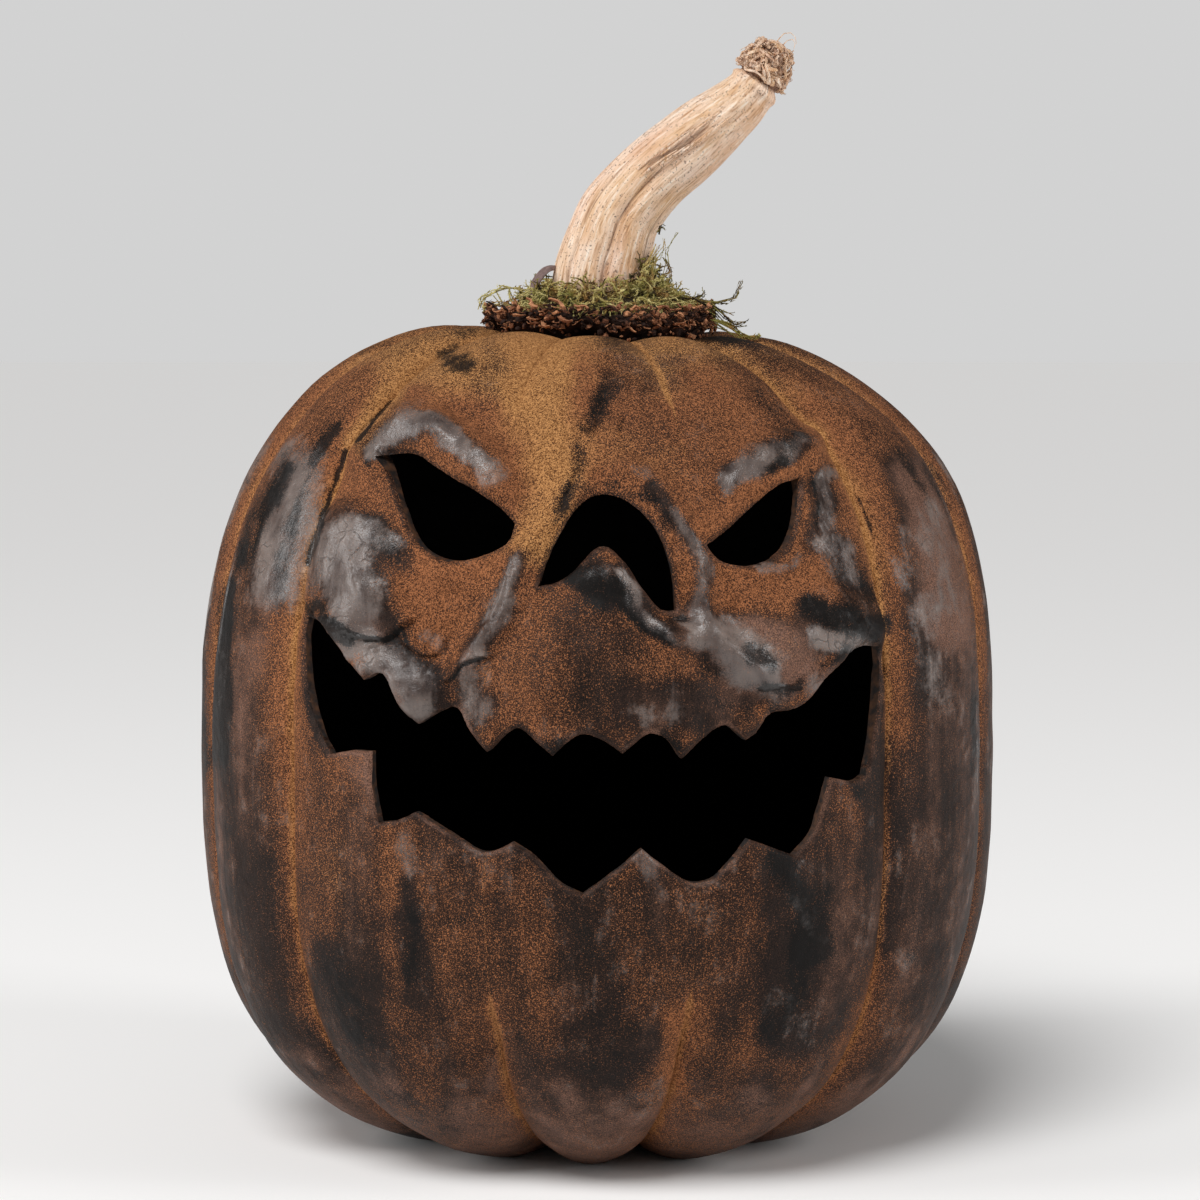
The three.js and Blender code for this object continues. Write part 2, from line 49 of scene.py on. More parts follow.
# the onlooker's card, an upright sheet on the axis that the face is drawn on, as seen from "eye"

card = {"eye": (0.0, -1500.0, 346.4), "aim": (0.0, 0.0, 201.4), "width": 455.1}

cardEye = np.array(card["eye"])
cardSight = np.array(card["aim"]) - cardEye
cardReach = float(np.linalg.norm(cardSight))
cardSight = cardSight / cardReach
cardRight = np.array([1.0, 0.0, 0.0])
cardUp = np.cross(cardRight, cardSight)


def onCard(points):
    ray = points - cardEye
    scale = cardReach / (ray @ cardSight)
    return np.stack([ray @ cardRight * scale, ray @ cardUp * scale], -1)


def fromCard(uv, y):
    uv = np.asarray(uv, float)
    ray = cardSight * cardReach + np.outer(uv[:, 0], cardRight) + np.outer(uv[:, 1], cardUp)
    return cardEye + ray * ((y - cardEye[1]) / ray[:, 1])[:, None]


def pathGap(uv, path):  # distance to a path, and which side of it: +1 is left of its run
    points = np.array([point[:2] for point in path], float)
    nearest = np.full(len(uv), 1e9)
    side = np.ones(len(uv))
    for start, end in zip(points[:-1], points[1:]):
        run = end - start
        share = np.clip((uv - start) @ run / max(run @ run, 1e-9), 0, 1)
        away = uv - start - share[:, None] * run
        distance = np.hypot(away[:, 0], away[:, 1])
        closer = distance < nearest
        side = np.where(closer, np.sign(run[0] * away[:, 1] - run[1] * away[:, 0]), side)
        nearest = np.where(closer, distance, nearest)
    return nearest, side


def insideOutline(uv, outline):
    inside = np.zeros(len(uv), bool)
    for (x0, y0), (x1, y1) in zip(outline, np.roll(outline, -1, 0)):
        spans = (y0 > uv[:, 1]) != (y1 > uv[:, 1])
        inside ^= spans & (uv[:, 0] < x0 + (x1 - x0) * (uv[:, 1] - y0) / (y1 - y0 + 1e-12))
    return inside


def smoothStep(values, low, high):
    t = np.clip((values - low) / (high - low), 0, 1)
    return t * t * (3 - 2 * t)


def noiseAt(points, size, seed=0.0):  # smooth random values, about -1 to 1, with lumps of a size
    scaled = (np.asarray(points) / size + seed * 17.3).tolist()
    return np.array([noise.noise(point) for point in scaled])


# mesh helpers: places are read and written in millimetres from the drawing axis

def rowsOf(items, name):  # one row of three numbers for each item
    rows = np.empty(len(items) * 3)
    items.foreach_get(name, rows)
    return rows.reshape(-1, 3)


def placesOf(piece):
    return rawPlaces(piece) / mm - toOrigin


def moveTo(piece, points):
    points = (points + toOrigin) * mm
    piece.data.vertices.foreach_set("co", np.ascontiguousarray(points, dtype=float).ravel())
    piece.data.update()


def rawPlaces(piece):  # as the mesh holds them
    return rowsOf(piece.data.vertices, "co")


def faceCentres(piece):
    return rowsOf(piece.data.polygons, "center")


def selectOnly(piece):
    bpy.ops.object.select_all(action="DESELECT")
    piece.select_set(True)
    bpy.context.view_layer.objects.active = piece


def subdivideChosen(piece, kind, parts, chosen, cuts):  # kind FACE or EDGE, parts the mesh's own
    selectOnly(piece)
    bpy.ops.object.mode_set(mode="EDIT")
    bpy.ops.mesh.select_mode(type=kind)
    bpy.ops.mesh.select_all(action="DESELECT")
    bpy.ops.object.mode_set(mode="OBJECT")
    parts.foreach_set("select", chosen)
    bpy.ops.object.mode_set(mode="EDIT")
    bpy.ops.mesh.subdivide(number_cuts=cuts)
    bpy.ops.object.mode_set(mode="OBJECT")


def subdivideFaces(piece, chosen, cuts):
    subdivideChosen(piece, "FACE", piece.data.polygons, chosen, cuts)


def subdivideUprights(piece, cuts):  # the edges of a cylinder that run along its axis
    places = rawPlaces(piece)
    ends = np.empty(len(piece.data.edges) * 2, dtype=int)
    piece.data.edges.foreach_get("vertices", ends)
    ends = ends.reshape(-1, 2)
    upright = np.abs(places[ends[:, 0], 2] - places[ends[:, 1], 2]) > 1e-6
    subdivideChosen(piece, "EDGE", piece.data.edges, upright, cuts)


def editWhole(piece, operator, **values):  # one edit-mode operator on all of the mesh
    selectOnly(piece)
    bpy.ops.object.mode_set(mode="EDIT")
    bpy.ops.mesh.select_all(action="SELECT")
    operator(**values)
    bpy.ops.object.mode_set(mode="OBJECT")


def applyModifier(piece, kind, **values):
    selectOnly(piece)
    modifier = piece.modifiers.new(kind.title(), kind)
    for key, value in values.items():
        setattr(modifier, key, value)
    bpy.ops.object.modifier_apply(modifier=modifier.name)


def addNumbers(piece, name, values):  # one number for each vertex, for the materials
    layer = piece.data.attributes.new(name, "FLOAT", "POINT")
    values = np.broadcast_to(np.asarray(values, dtype=np.float32), len(piece.data.vertices))
    layer.data.foreach_set("value", np.ascontiguousarray(values))


def addVectors(piece, name, values):
    layer = piece.data.attributes.new(name, "FLOAT_VECTOR", "POINT")
    layer.data.foreach_set("vector", np.ascontiguousarray(values, dtype=np.float32).ravel())


def removePiece(piece):
    mesh = piece.data
    bpy.data.objects.remove(piece)
    bpy.data.meshes.remove(mesh)


def copyOf(piece):
    copy = piece.copy()
    copy.data = piece.data.copy()
    bpy.context.scene.collection.objects.link(copy)
    return copy


def joinAll(name, pieces):
    bpy.ops.object.select_all(action="DESELECT")
    for piece in pieces:
        piece.select_set(True)
    bpy.context.view_layer.objects.active = pieces[0]
    if len(pieces) > 1:
        bpy.ops.object.join()
    pieces[0].name = name
    return pieces[0]


def closedBall(name, columns, rings):  # a unit ball whose rows and columns get new places
    bpy.ops.object.select_all(action="DESELECT")
    bpy.ops.mesh.primitive_uv_sphere_add(segments=columns, ring_count=rings, radius=1)
    ball = bpy.context.object
    ball.name = name
    return ball


def ballPlaces(points):  # azimuth in degrees from the front, and the share from foot to top
    size = np.linalg.norm(points, axis=1)
    azimuth = np.degrees(np.arctan2(points[:, 0], -points[:, 1]))
    share = (np.degrees(np.arcsin(np.clip(points[:, 2] / size, -1, 1))) + 90) / 180
    return azimuth, share


def treeOf(piece):  # in millimetres from the drawing axis
    return BVHTree.FromPolygons(placesOf(piece).tolist(), [list(p.vertices) for p in piece.data.polygons])


def curvePoint(a, b, c, d, t):  # on the curve from b to c, a share t along
    return 0.5 * (2 * b + (c - a) * t + (2 * a - 5 * b + 4 * c - d) * t ** 2
                  + (3 * b - a - 3 * c + d) * t ** 3)


def curveThrough(points, share):  # a smooth curve through points, read at shares of its length
    points = np.array(points, float)
    fine = []
    padded = np.vstack([2 * points[0] - points[1], points, 2 * points[-1] - points[-2]])
    for a, b, c, d in zip(padded, padded[1:], padded[2:], padded[3:]):
        for t in np.linspace(0, 1, 9)[:-1]:
            fine.append(curvePoint(a, b, c, d, t))
    fine = np.array(fine + [points[-1]])
    length = np.concatenate([[0], np.cumsum(np.linalg.norm(np.diff(fine, axis=0), axis=1))])
    at = np.asarray(share) * length[-1]
    return np.stack([np.interp(at, length, fine[:, i]) for i in range(points.shape[1])], -1), length[-1]


def layAlong(piece, path, thick=1.0, flat=1.0):  # a straight model on +Z, 0 to 1, gets bent along a path
    over, near = 0.05, 0.03  # how far a model may pass its ends, and the step that gives the direction
    model = rawPlaces(piece)
    share = np.clip(model[:, 2], -over, 1 + over)
    centre, _ = curveThrough(path, np.clip(share, 0, 1))
    ahead, length = curveThrough(path, np.clip(share + near, near, 1))
    behind, _ = curveThrough(path, np.clip(share - near, 0, 1 - near))
    along = ahead - behind
    along /= np.linalg.norm(along, axis=1)[:, None]
    side = np.cross(along, (0.31, 0.17, 0.94))
    side /= np.linalg.norm(side, axis=1)[:, None] + 1e-9
    out = np.cross(side, along)
    beyond = (share - np.clip(share, 0, 1))[:, None] * length
    width, height = side * model[:, :1] * thick, out * model[:, 1:2] * thick * flat
    moveTo(piece, centre + along * beyond + width + height)
    return piece


def dress(piece, material, bend):  # its one material, and smooth shading where it bends less than this
    piece.data.materials.clear()
    piece.data.materials.append(material)
    selectOnly(piece)
    bpy.ops.object.shade_smooth_by_angle(angle=math.radians(bend))


# materials

def linearColour(code):  # sRGB hex to linear
    channels = [int(code[i:i + 2], 16) / 255 for i in (1, 3, 5)]
    return [c / 12.92 if c <= 0.04045 else ((c + 0.055) / 1.055) ** 2.4 for c in channels] + [1.0]


def addNode(material, kind, inputs=None, **settings):  # a socket or node in inputs is linked
    node = material.node_tree.nodes.new(kind)
    for key, value in settings.items():
        setattr(node, key, value)
    for key, value in (inputs or {}).items():
        if isinstance(value, bpy.types.Node):
            value = next(output for output in value.outputs if output.enabled)
        if isinstance(value, bpy.types.NodeSocket):
            material.node_tree.links.new(value, node.inputs[key])
        else:
            node.inputs[key].default_value = linearColour(value) if isinstance(value, str) else value
    return node


def newMaterial(name):
    material = bpy.data.materials.new(name)
    material.use_nodes = True
    material.node_tree.nodes.clear()
    return material


# tints over a colour: what places each one, where it starts and is full, how much of it at most
def tinted(material, colour, layers):
    for where, start, full, most, tint in layers:
        amount = addNode(material, "ShaderNodeMapRange",
                         {"Value": where, "From Min": start, "From Max": full, "To Max": most})
        colour = addNode(material, "ShaderNodeMix", {0: amount, 6: colour, 7: tint}, data_type="RGBA")
    return colour


# the camera stands at the onlooker's eye

def makeCamera():
    data = bpy.data.cameras.new("onlooker")
    data.sensor_width = 36
    data.lens = data.sensor_width * cardReach / card["width"]
    camera = bpy.data.objects.new("onlooker", data)
    bpy.context.scene.collection.objects.link(camera)
    camera.location = (cardEye + toOrigin) * mm
    aim = Vector((np.array(card["aim"]) + toOrigin) * mm) - camera.location
    camera.rotation_euler = aim.to_track_quat("-Z", "Y").to_euler()
    bpy.context.scene.camera = camera


# the shell's form

body = {
    "radius": 150.3, "flat": 0.97, "axisX": -1.0, "middle": 146.4, "rise": 163.0, "fall": 152.0,
    "shoulder": 2.7, "heel": 3.0, "topDip": 20.0, "topDipRadius": 36.0,
    "footDip": 16.0, "footDipRadius": 38.0, "lean": 0.018, "wall": 4.0,
    "crownTilt": -0.035, "crownFrom": 250.0, "crownTo": 300.0, "footGroove": 1.7,
    "frontGroove": 0.5,     # depth that the two front grooves keep above the face, as a share
    "sharpness": 0.6,       # groove profile: lower is sharper
    "columnsPerRib": 20, "rings": 112, "faceCuts": 2,
    "faceRibs": (2, 5), "faceShare": (0.26, 0.9), "carvedShare": (0.26, 0.79),  # where the mesh is finer
    "faceDepth": -40.0,     # what lies in front of this depth can be carved or modelled
    "cutReach": (0.78, 1.1), "cutFront": -260.0,  # the cutters' ends, as shares of the radius, then in front
    "innerColumnsPerRib": 8, "innerRings": 60,
    "fineBand": 3.4,        # finer faces this near to an edge or a crack
    "dents": [(46.0, 0.9), (17.0, 0.4)],  # (lump size, height) of the hand-made unevenness
    "rim": 1.6,             # rounding of the carved edges
}

grooves = np.array([  # azimuth at the widest level, depth, drift at the foot
    (-104, 7, 0), (-78, 6.5, 0), (-49, 8.5, 0), (-15, 6, 0), (14, 6, -3), (45.5, 8.5, 0),
    (77, 6.5, 0), (104, 7.5, 0), (134, 7, 2), (164.5, 8, 0), (195, 7, -2), (225.5, 7.5, 0),
], float)

openings = {  # a third value of 1 marks a sharp corner
    "leftEye": [
        (-81.5, 55, 1), (-76, 55.5), (-69, 55), (-58, 47.5), (-47.5, 41.5), (-39, 36), (-32.5, 29, 1),
        (-35, 22), (-43, 17.3), (-55, 14.5), (-65, 17.5), (-71.5, 25), (-77.5, 40),
    ],
    "rightEye": [
        (40.5, 21, 1), (49.5, 28), (59, 36.5), (67, 43.5), (75.5, 46.5, 1), (76, 38), (74, 26.5),
        (69.5, 18), (63, 13.7), (55, 12.5), (46, 15),
    ],
    "nose": [
        (-23.5, 5, 1), (-19.5, 17), (-14, 27.5), (-7, 36.5), (0, 40), (8, 38.5), (17, 32), (24, 22),
        (28, 9), (28.5, -4, 1), (23.5, -4), (17, 3), (11, 12), (5.5, 18.3), (1.5, 20), (-3, 18.3),
        (-11, 10), (-18, 6),
    ],
    "mouth": [
        # upper edge, left to right: seven teeth
        (-111, -6.5, 1), (-104.5, -8.5), (-99, -14.5), (-94, -23.5), (-88.5, -30, 1), (-82.5, -27.3),
        (-78.5, -30), (-75, -41), (-69, -47, 1), (-60.5, -42), (-54.5, -40.8), (-49.5, -50),
        (-43, -57.5, 1), (-35, -50.5), (-30, -48.5), (-24, -53.5), (-17.5, -58.8, 1), (-11, -52.5),
        (-5.5, -50.3), (1, -53), (8.5, -58, 1), (14, -53), (18.5, -50.3), (25, -52.5), (30.5, -60, 1),
        (37, -54), (46, -47.7), (51, -49.5), (55.3, -53.2, 1), (60, -50), (65, -43), (73, -41.5),
        (80, -37), (88, -25.5), (96, -17.5), (105.5, -18, 1),
        # right end
        (107, -28), (105, -47), (101.5, -66.5, 1),
        # lower edge, right to left: five teeth
        (97, -69), (88, -67.3, 1), (85.5, -76), (81.5, -88.5), (74, -97, 1), (66, -94), (57, -91, 1),
        (50, -99.5), (42.5, -106), (34, -107), (25, -101.5), (16, -94.5, 1), (8, -101.5),
        (-6.5, -111.5, 1), (-15, -107.5), (-25, -97.5), (-33.5, -92, 1), (-39, -95), (-46, -95.3),
        (-55, -90), (-70.5, -80.5, 1), (-77, -83.7), (-84.5, -84.5, 1), (-87, -71),
        # left end
        (-87.5, -57.5, 1), (-95, -57.2), (-103, -58.5, 1), (-108, -48), (-111.5, -33), (-112, -18),
    ],
}

relief = [  # modelled on the face: (path, half width, height)
    # brow rolls, and the hollows over them
    ([(-88, 52), (-83, 61), (-75, 67.5), (-65, 67), (-57, 61), (-48, 55), (-40, 47)], 12, 4.6),
    ([(-66, 60), (-54, 54), (-44, 47), (-36, 38)], 8, 1.6),
    ([(-54, 73), (-42, 68), (-33, 58), (-27, 46)], 11, -1.8),
    ([(42, 27), (52, 37), (63, 46), (73, 51.5), (80, 52)], 7, 3.0),
    ([(47, 46), (56, 52), (68, 57), (78, 60)], 9, 3.2), ([(62, 50.5), (68, 54)], 4, -1.0),
    ([(56, 66), (72, 72)], 12, -1.6),
    # cheeks
    ([(-95, 22), (-94, 10), (-90, 0)], 21, 6.5), ([(-78, 22), (-82, 12), (-79, 2)], 10, 1.6),
    ([(-101, -15), (-90, -22), (-78, -27), (-68, -34)], 15, 4.2), ([(-73, -30), (-69, -41)], 9, 2.4),
    ([(56, -20), (74, -16), (90, -12)], 20, 6.5), ([(60, 9.5), (68, 11.5), (76, 16.5)], 6, 2.0),
    ([(80, 2), (92, -6), (101, -12)], 11, 2.2), ([(40, -17), (52, -23), (62, -29)], 11, 2.4),
    ([(66, -38), (78, -34), (88, -25)], 7, 2.0), ([(-60, 9), (-44, 10)], 10, 2.6),
    ([(-52, -6), (-58, -18)], 12, -1.5), ([(52, 2), (66, -2)], 12, 1.4),
    # folds from the nose to the mouth
    ([(-32, 18), (-35.5, 5), (-39, -7), (-45, -17), (-52, -27)], 8.5, 3.4),
    ([(-27, 20), (-31, 6), (-35, -6)], 7, 0.8), ([(-8, 45), (-19, 31), (-26, 17), (-29, 2)], 9, 3.0),
    ([(10, 49), (22, 41), (31.5, 28), (36, 17), (39.3, 5), (40.5, -8)], 8, 3.6),
    ([(29.5, 20), (32.5, 8), (33.5, -3)], 4.5, -1.1), ([(44, 10), (46, -6)], 7, -1.6),
    ([(-20, -22), (-24, -40)], 10, 1.2),
    # muzzle and nose tip
    ([(-10, -30), (14, -30)], 42, 8.0), ([(-1, 8), (0, -8)], 17, 4.0), ([(-5, 9), (3, 6)], 8, 1.4),
    ([(5, 13), (12, 3), (20, -8), (28, -15)], 6, 2.2), ([(24, -12), (36, -16)], 8, 1.4),
    # forehead crease, chin roll under the mouth
    ([(5, 88), (2, 76), (-3, 66)], 7, -1.6), ([(-7, 54), (-10, 46), (-14, 37)], 5, -1.5),
    ([(-30, 80), (-22, 50)], 18, 1.6), ([(28, 78), (26, 58)], 18, 1.2),
    ([(-60, -103), (-30, -113), (0, -122), (36, -118), (70, -108)], 14, 2.2),
    # thickened lips of the tooth tips
    ([(-43, -55), (-43, -51)], 7, 1.6), ([(-17.5, -56), (-17.5, -51)], 7, 1.6),
    ([(8.5, -55), (8.5, -49)], 7, 1.3), ([(30.5, -57), (31, -50)], 8, 2.2),
    ([(55, -50), (57, -45)], 7, 1.8), ([(16, -96), (16, -102)], 7, 1.2),
    ([(-33, -94), (-33, -100)], 7, 1.0), ([(-78, -86), (-74, -94)], 8, 1.2),
    ([(57, -94), (58, -101)], 7, 1.0),
]

ledges = [  # the skin overlaps what lies to the right of the path: (path, half width, height, drop)
    ([(-110, -2), (-103, -7), (-96.5, -11), (-89, -13.8), (-82, -14.6), (-78, -13), (-76, -10.5),
      (-73, -8.5)], 10, 1.8, 1.3),
    ([(-75, -11), (-74, -16), (-70.5, -18.5), (-66, -20.5), (-62, -20.5), (-60, -17)], 6, 1.3, 1.2),
    ([(-57, -30), (-52.5, -24.5), (-49, -22.5), (-42, -21)], 5, 1.2, 1.1),
    ([(60, -33.5), (68, -32.5), (76, -33), (83, -29)], 6, 1.2, 1.3),
    ([(-41, -9), (-45, -12), (-47.5, -16)], 5, 1.2, 1.1),
    ([(50, -22), (56, -25.5), (60, -31)], 5, 0.9, 1.2),
]

scratches = [  # narrow cracks and wrinkles: (path, half width, depth)
    ([(-77.5, 78), (-83, 71.5), (-89, 64.5), (-92.5, 60)], 1.3, -1.3),
    ([(-96.5, 56), (-99.5, 47), (-103, 37), (-107, 26), (-111, 14)], 2.0, -1.5),
    ([(-92.5, 60), (-96.5, 56)], 0.9, -0.6),
    # wrinkles of the left cheek and lip
    ([(-90.5, 12), (-89.5, 6), (-87.5, 1)], 1.1, -0.35),
    ([(-70, -11.5), (-66.5, -14), (-62.5, -14)], 1.1, -0.5),
    ([(-68.5, -18), (-69, -15), (-66.5, -12)], 1.1, -0.6),
    ([(-65.5, -19), (-64.5, -15.5), (-62, -12)], 1.1, -0.6),
    ([(-72, -18), (-72.5, -22), (-74, -24)], 1.1, -0.5), ([(-63, -22), (-64.5, -26)], 1.0, -0.5),
    ([(-84, -18.5), (-83.2, -18)], 1.5, -1.2), ([(-56.5, -29), (-53.5, -25)], 1.0, -0.5),
    # grain of the fold beside the nose
    ([(-35.5, 13), (-38, 2), (-41.5, -7), (-47, -16)], 1.1, -0.5),
    ([(-32.6, 12), (-35, 2), (-38.5, -7), (-43.5, -16.5)], 1.1, -0.55),
    ([(-30, 8), (-32.5, -1), (-36, -9), (-40, -16)], 1.1, -0.4),
    # crow's feet of the right eye
    ([(78.5, 51), (79.5, 44), (82, 38), (81, 31), (83.5, 25)], 1.2, -0.8),
    ([(82.5, 51), (83, 44), (85.5, 38), (84.5, 32), (87, 26)], 1.2, -0.8),
    ([(87, 50), (87.2, 43), (89, 37), (88.4, 33)], 1.1, -0.6), ([(80, 22), (85, 19), (88, 14)], 1.1, -0.4),
    # cracks beside the right-hand groove, marks on the forehead and under the nose
    ([(97.5, 39.5), (99, 34.5), (102, 29.5), (104.5, 22.5)], 1.2, -1.0),
    ([(101, 14), (103.5, 4)], 1.1, -0.7), ([(8.8, 69.4), (7.4, 62.6)], 1.2, -0.8),
    ([(1.5, 78), (-1.5, 71), (-2, 64)], 1.2, -0.6),
    ([(-8, 50), (-10.5, 44.5), (-12, 40), (-16, 34)], 1.2, -0.9),
    ([(27, -8), (31, -7.5), (35, -8.5)], 1.4, -1.0), ([(62, -22.5), (65.5, -24.5)], 1.5, -0.8),
    ([(66, -31), (71, -31.5), (76, -29.5)], 1.2, -0.8), ([(92, -9), (94.5, -6), (97, -11)], 1.2, -0.8),
    ([(99, -13), (103, -15)], 1.2, -0.8), ([(57.5, -19), (61, -17)], 1.2, -0.6),
]


def sectionTable(samples=1600):  # half the upright section, from the foot's centre to the top's
    t = np.linspace(-math.pi / 2, math.pi / 2, samples + 1)
    power = 2 / np.where(t > 0, body["shoulder"], body["heel"])
    r = body["radius"] * np.abs(np.cos(t)) ** power
    reach = np.where(t > 0, body["rise"], body["fall"]) * np.abs(np.sin(t)) ** power
    topDip = body["topDip"] * np.exp(-(r / body["topDipRadius"]) ** 2)
    footDip = body["footDip"] * np.exp(-(r / body["footDipRadius"]) ** 2)
    z = np.where(t > 0, body["middle"] + reach - topDip, body["middle"] - reach + footDip)
    length = np.concatenate([[0], np.cumsum(np.hypot(np.diff(r), np.diff(z)))])
    share = np.linspace(0, 1, samples + 1)
    r = np.interp(share, length / length[-1], r)
    z = np.interp(share, length / length[-1], z)
    alongR, alongZ = np.gradient(r), np.gradient(z)
    size = np.hypot(alongR, alongZ)
    return {"share": share, "r": r, "z": z, "nr": alongZ / size, "nz": -alongR / size}


section = sectionTable()


def sectionAt(share):
    return [np.interp(share, section["share"], section[key]) for key in ("r", "z", "nr", "nz")]


def grooveAzimuth(index, share):
    count = len(grooves)
    row = grooves[index % count]
    return row[:, 0] + 360 * (index // count) + row[:, 2] * np.maximum(0, 1 - 2 * share)


def grooveDepth(index, share):  # the two front grooves are missing from the face
    row = grooves[index % len(grooves)]
    below = body["footGroove"] * (1 - smoothStep(share, 0.3, 0.38))
    outsideFace = np.maximum(body["frontGroove"] * smoothStep(share, 0.72, 0.8), below)
    return row[:, 1] * np.where(np.abs(row[:, 0]) > 30, 1, outsideFace)


def ribTurnAt(azimuth, share):  # rib number plus the share across it
    count = len(grooves)
    edges = np.stack([grooveAzimuth(np.full(len(share), i), share) for i in range(count + 1)], -1)
    angle = (azimuth - edges[:, 0]) % 360 + edges[:, 0]
    rib = np.clip((edges <= angle[:, None]).sum(1) - 1, 0, count - 1)
    low = np.take_along_axis(edges, rib[:, None], 1)[:, 0]
    high = np.take_along_axis(edges, rib[:, None] + 1, 1)[:, 0]
    return rib + (angle - low) / (high - low)


def skin(ribTurn, share, lift=0.0, shaped=None):
    r, z, nr, nz = sectionAt(share)
    rib = np.floor(ribTurn).astype(int)
    across = ribTurn - rib
    fromAzimuth = grooveAzimuth(rib, share)
    azimuth = np.radians(fromAzimuth + (grooveAzimuth(rib + 1, share) - fromAzimuth) * across)
    swell = np.abs(np.sin(math.pi * across)) ** body["sharpness"]
    depth = grooveDepth(rib, share) * (1 - across) + grooveDepth(rib + 1, share) * across
    fade = np.minimum(1, r / 60) * (0.8 + 0.5 * (2 * share - 1) ** 2)
    offset = lift - depth * (1 - swell) * fade

    def place(offset):
        radius = np.maximum(0, r + offset * nr)
        x = radius * np.sin(azimuth) + body["axisX"]
        y = -radius * np.cos(azimuth) * body["flat"]
        level = z + offset * nz
        bow = np.sin(math.pi * np.clip(level / (body["middle"] + body["rise"]), 0, 1))
        crown = smoothStep(level, body["crownFrom"], body["crownTo"])
        return np.stack([x, y, level + x * (body["lean"] * bow + body["crownTilt"] * crown)], -1)

    points = place(offset)
    if shaped:
        points = place(offset + shaped(points))
    points[:, 2] = np.maximum(points[:, 2], body["wall"] if lift < 0 else 0)
    return points


def seenOnSkin(uv):  # where the sight lines through the card meet the skin
    points = fromCard(uv, np.full(len(uv), -130.0))
    upright = (section["share"] > 0.2) & (section["share"] < 0.8)
    for _ in range(20):
        x, y = points[:, 0] - body["axisX"], points[:, 1]
        azimuth = np.degrees(np.arctan2(x, -y / body["flat"]))
        bow = body["lean"] * points[:, 0] * np.sin(math.pi * points[:, 2] / (body["middle"] + body["rise"]))
        share = np.interp(points[:, 2] - bow, section["z"][upright], section["share"][upright])
        there = skin(ribTurnAt(azimuth, share), share)
        scale = np.hypot(there[:, 0] - body["axisX"], there[:, 1]) / np.hypot(x, y)
        points = fromCard(uv, y * (1 + 0.8 * (scale - 1)))
    return points


def smoothOutline(points, step=2.0, wobble=0.3, seed=1):  # corners stay, the rest is one curve
    outline = []
    run = []
    closed = list(points) + [points[0]]
    for index, point in enumerate(closed):
        run.append(np.array(point[:2], float))
        last = index == len(closed) - 1
        if len(run) == 1 or not (len(point) > 2 or last):
            continue
        knots = [2 * run[0] - run[1]] + run + [2 * run[-1] - run[-2]]
        for a, b, c, d in zip(knots, knots[1:], knots[2:], knots[3:]):
            steps = max(1, round(np.linalg.norm(c - b) / step))
            outline += [curvePoint(a, b, c, d, i / steps) for i in range(steps)]
        run = [run[-1]]
    outline = np.array(outline)
    flat = np.column_stack([outline, np.zeros(len(outline))])
    shift = np.stack([noiseAt(flat, 5, seed), noiseAt(flat, 5, seed + 0.5)], -1)
    return outline + wobble * shift


outlines = {name: smoothOutline(points, seed=i) for i, (name, points) in enumerate(openings.items())}


def waver(points, size, reach, seed):  # uneven shifts, so that no stroke has a ruled edge
    return reach * np.stack([noiseAt(points, size, seed), noiseAt(points, size, seed + 0.5)], -1)


def reliefAt(points):
    height = np.zeros(len(points))
    front = points[:, 1] < body["faceDepth"]
    uv = onCard(points[front])
    loose = uv + waver(points[front], 22, 3.0, 61) + waver(points[front], 8, 1.0, 62)
    lumps = 1 + 0.45 * noiseAt(points[front], 13, 63)
    total = np.zeros(len(uv))
    for path, half, high in relief:
        gap, _ = pathGap(loose, path)
        total += high * lumps * np.clip(1 - (gap / half) ** 2, 0, 1) ** 2
    crisp = uv + waver(points[front], 5, 0.7, 64)
    for path, half, high, drop in ledges:
        gap, side = pathGap(crisp, path)
        rise = high * np.clip(1 - gap / half, 0, 1) ** 1.5
        fall = high * (1 - smoothStep(gap, 0, drop))
        fall = fall - 0.4 * high * np.clip(1 - (gap - drop) / 2, 0, 1) * (gap > drop)
        total += np.where(side > 0, rise, fall)
    for path, half, deep in scratches:
        gap, _ = pathGap(crisp, path)
        total += deep * np.clip(1 - (gap / half) ** 2, 0, 1) ** 1.5
    height[front] = total
    return height


def broadReliefAt(points):  # only the large forms show on the inside
    height = np.zeros(len(points))
    front = points[:, 1] < body["faceDepth"]
    uv = onCard(points[front])
    total = np.zeros(len(uv))
    for path, half, high in relief:
        if half >= 12:
            gap, _ = pathGap(uv, path)
            total += 0.85 * high * np.clip(1 - (gap / half) ** 2, 0, 1) ** 2
    height[front] = total
    return height


def dentsAt(points):
    return sum(height * noiseAt(points, size, 3 + i) for i, (size, height) in enumerate(body["dents"]))


def rimGap(uv, reach):  # distance to the nearest carved edge, up to a reach, and 0 in the openings
    gap = np.full(len(uv), float(reach))
    for outline in outlines.values():
        low, high = outline.min(0) - reach, outline.max(0) + reach
        near = np.flatnonzero(np.all((uv > low) & (uv < high), axis=1))
        if not len(near):
            continue
        there, _ = pathGap(uv[near], np.vstack([outline, outline[:1]]))
        there[insideOutline(uv[near], outline)] = 0
        gap[near] = np.minimum(gap[near], there)
    return gap


def rimDrop(points):  # the skin rounds off towards each carved edge
    drop = np.zeros(len(points))
    front = np.flatnonzero(points[:, 1] < body["faceDepth"])
    inset = body["rim"] - rimGap(onCard(points[front]), body["rim"])
    drop[front] = body["rim"] - np.sqrt(body["rim"] ** 2 - inset ** 2)
    return drop


def ribTurns(azimuth):
    count = len(grooves)
    return ((azimuth + 180) / 360 * count) % count


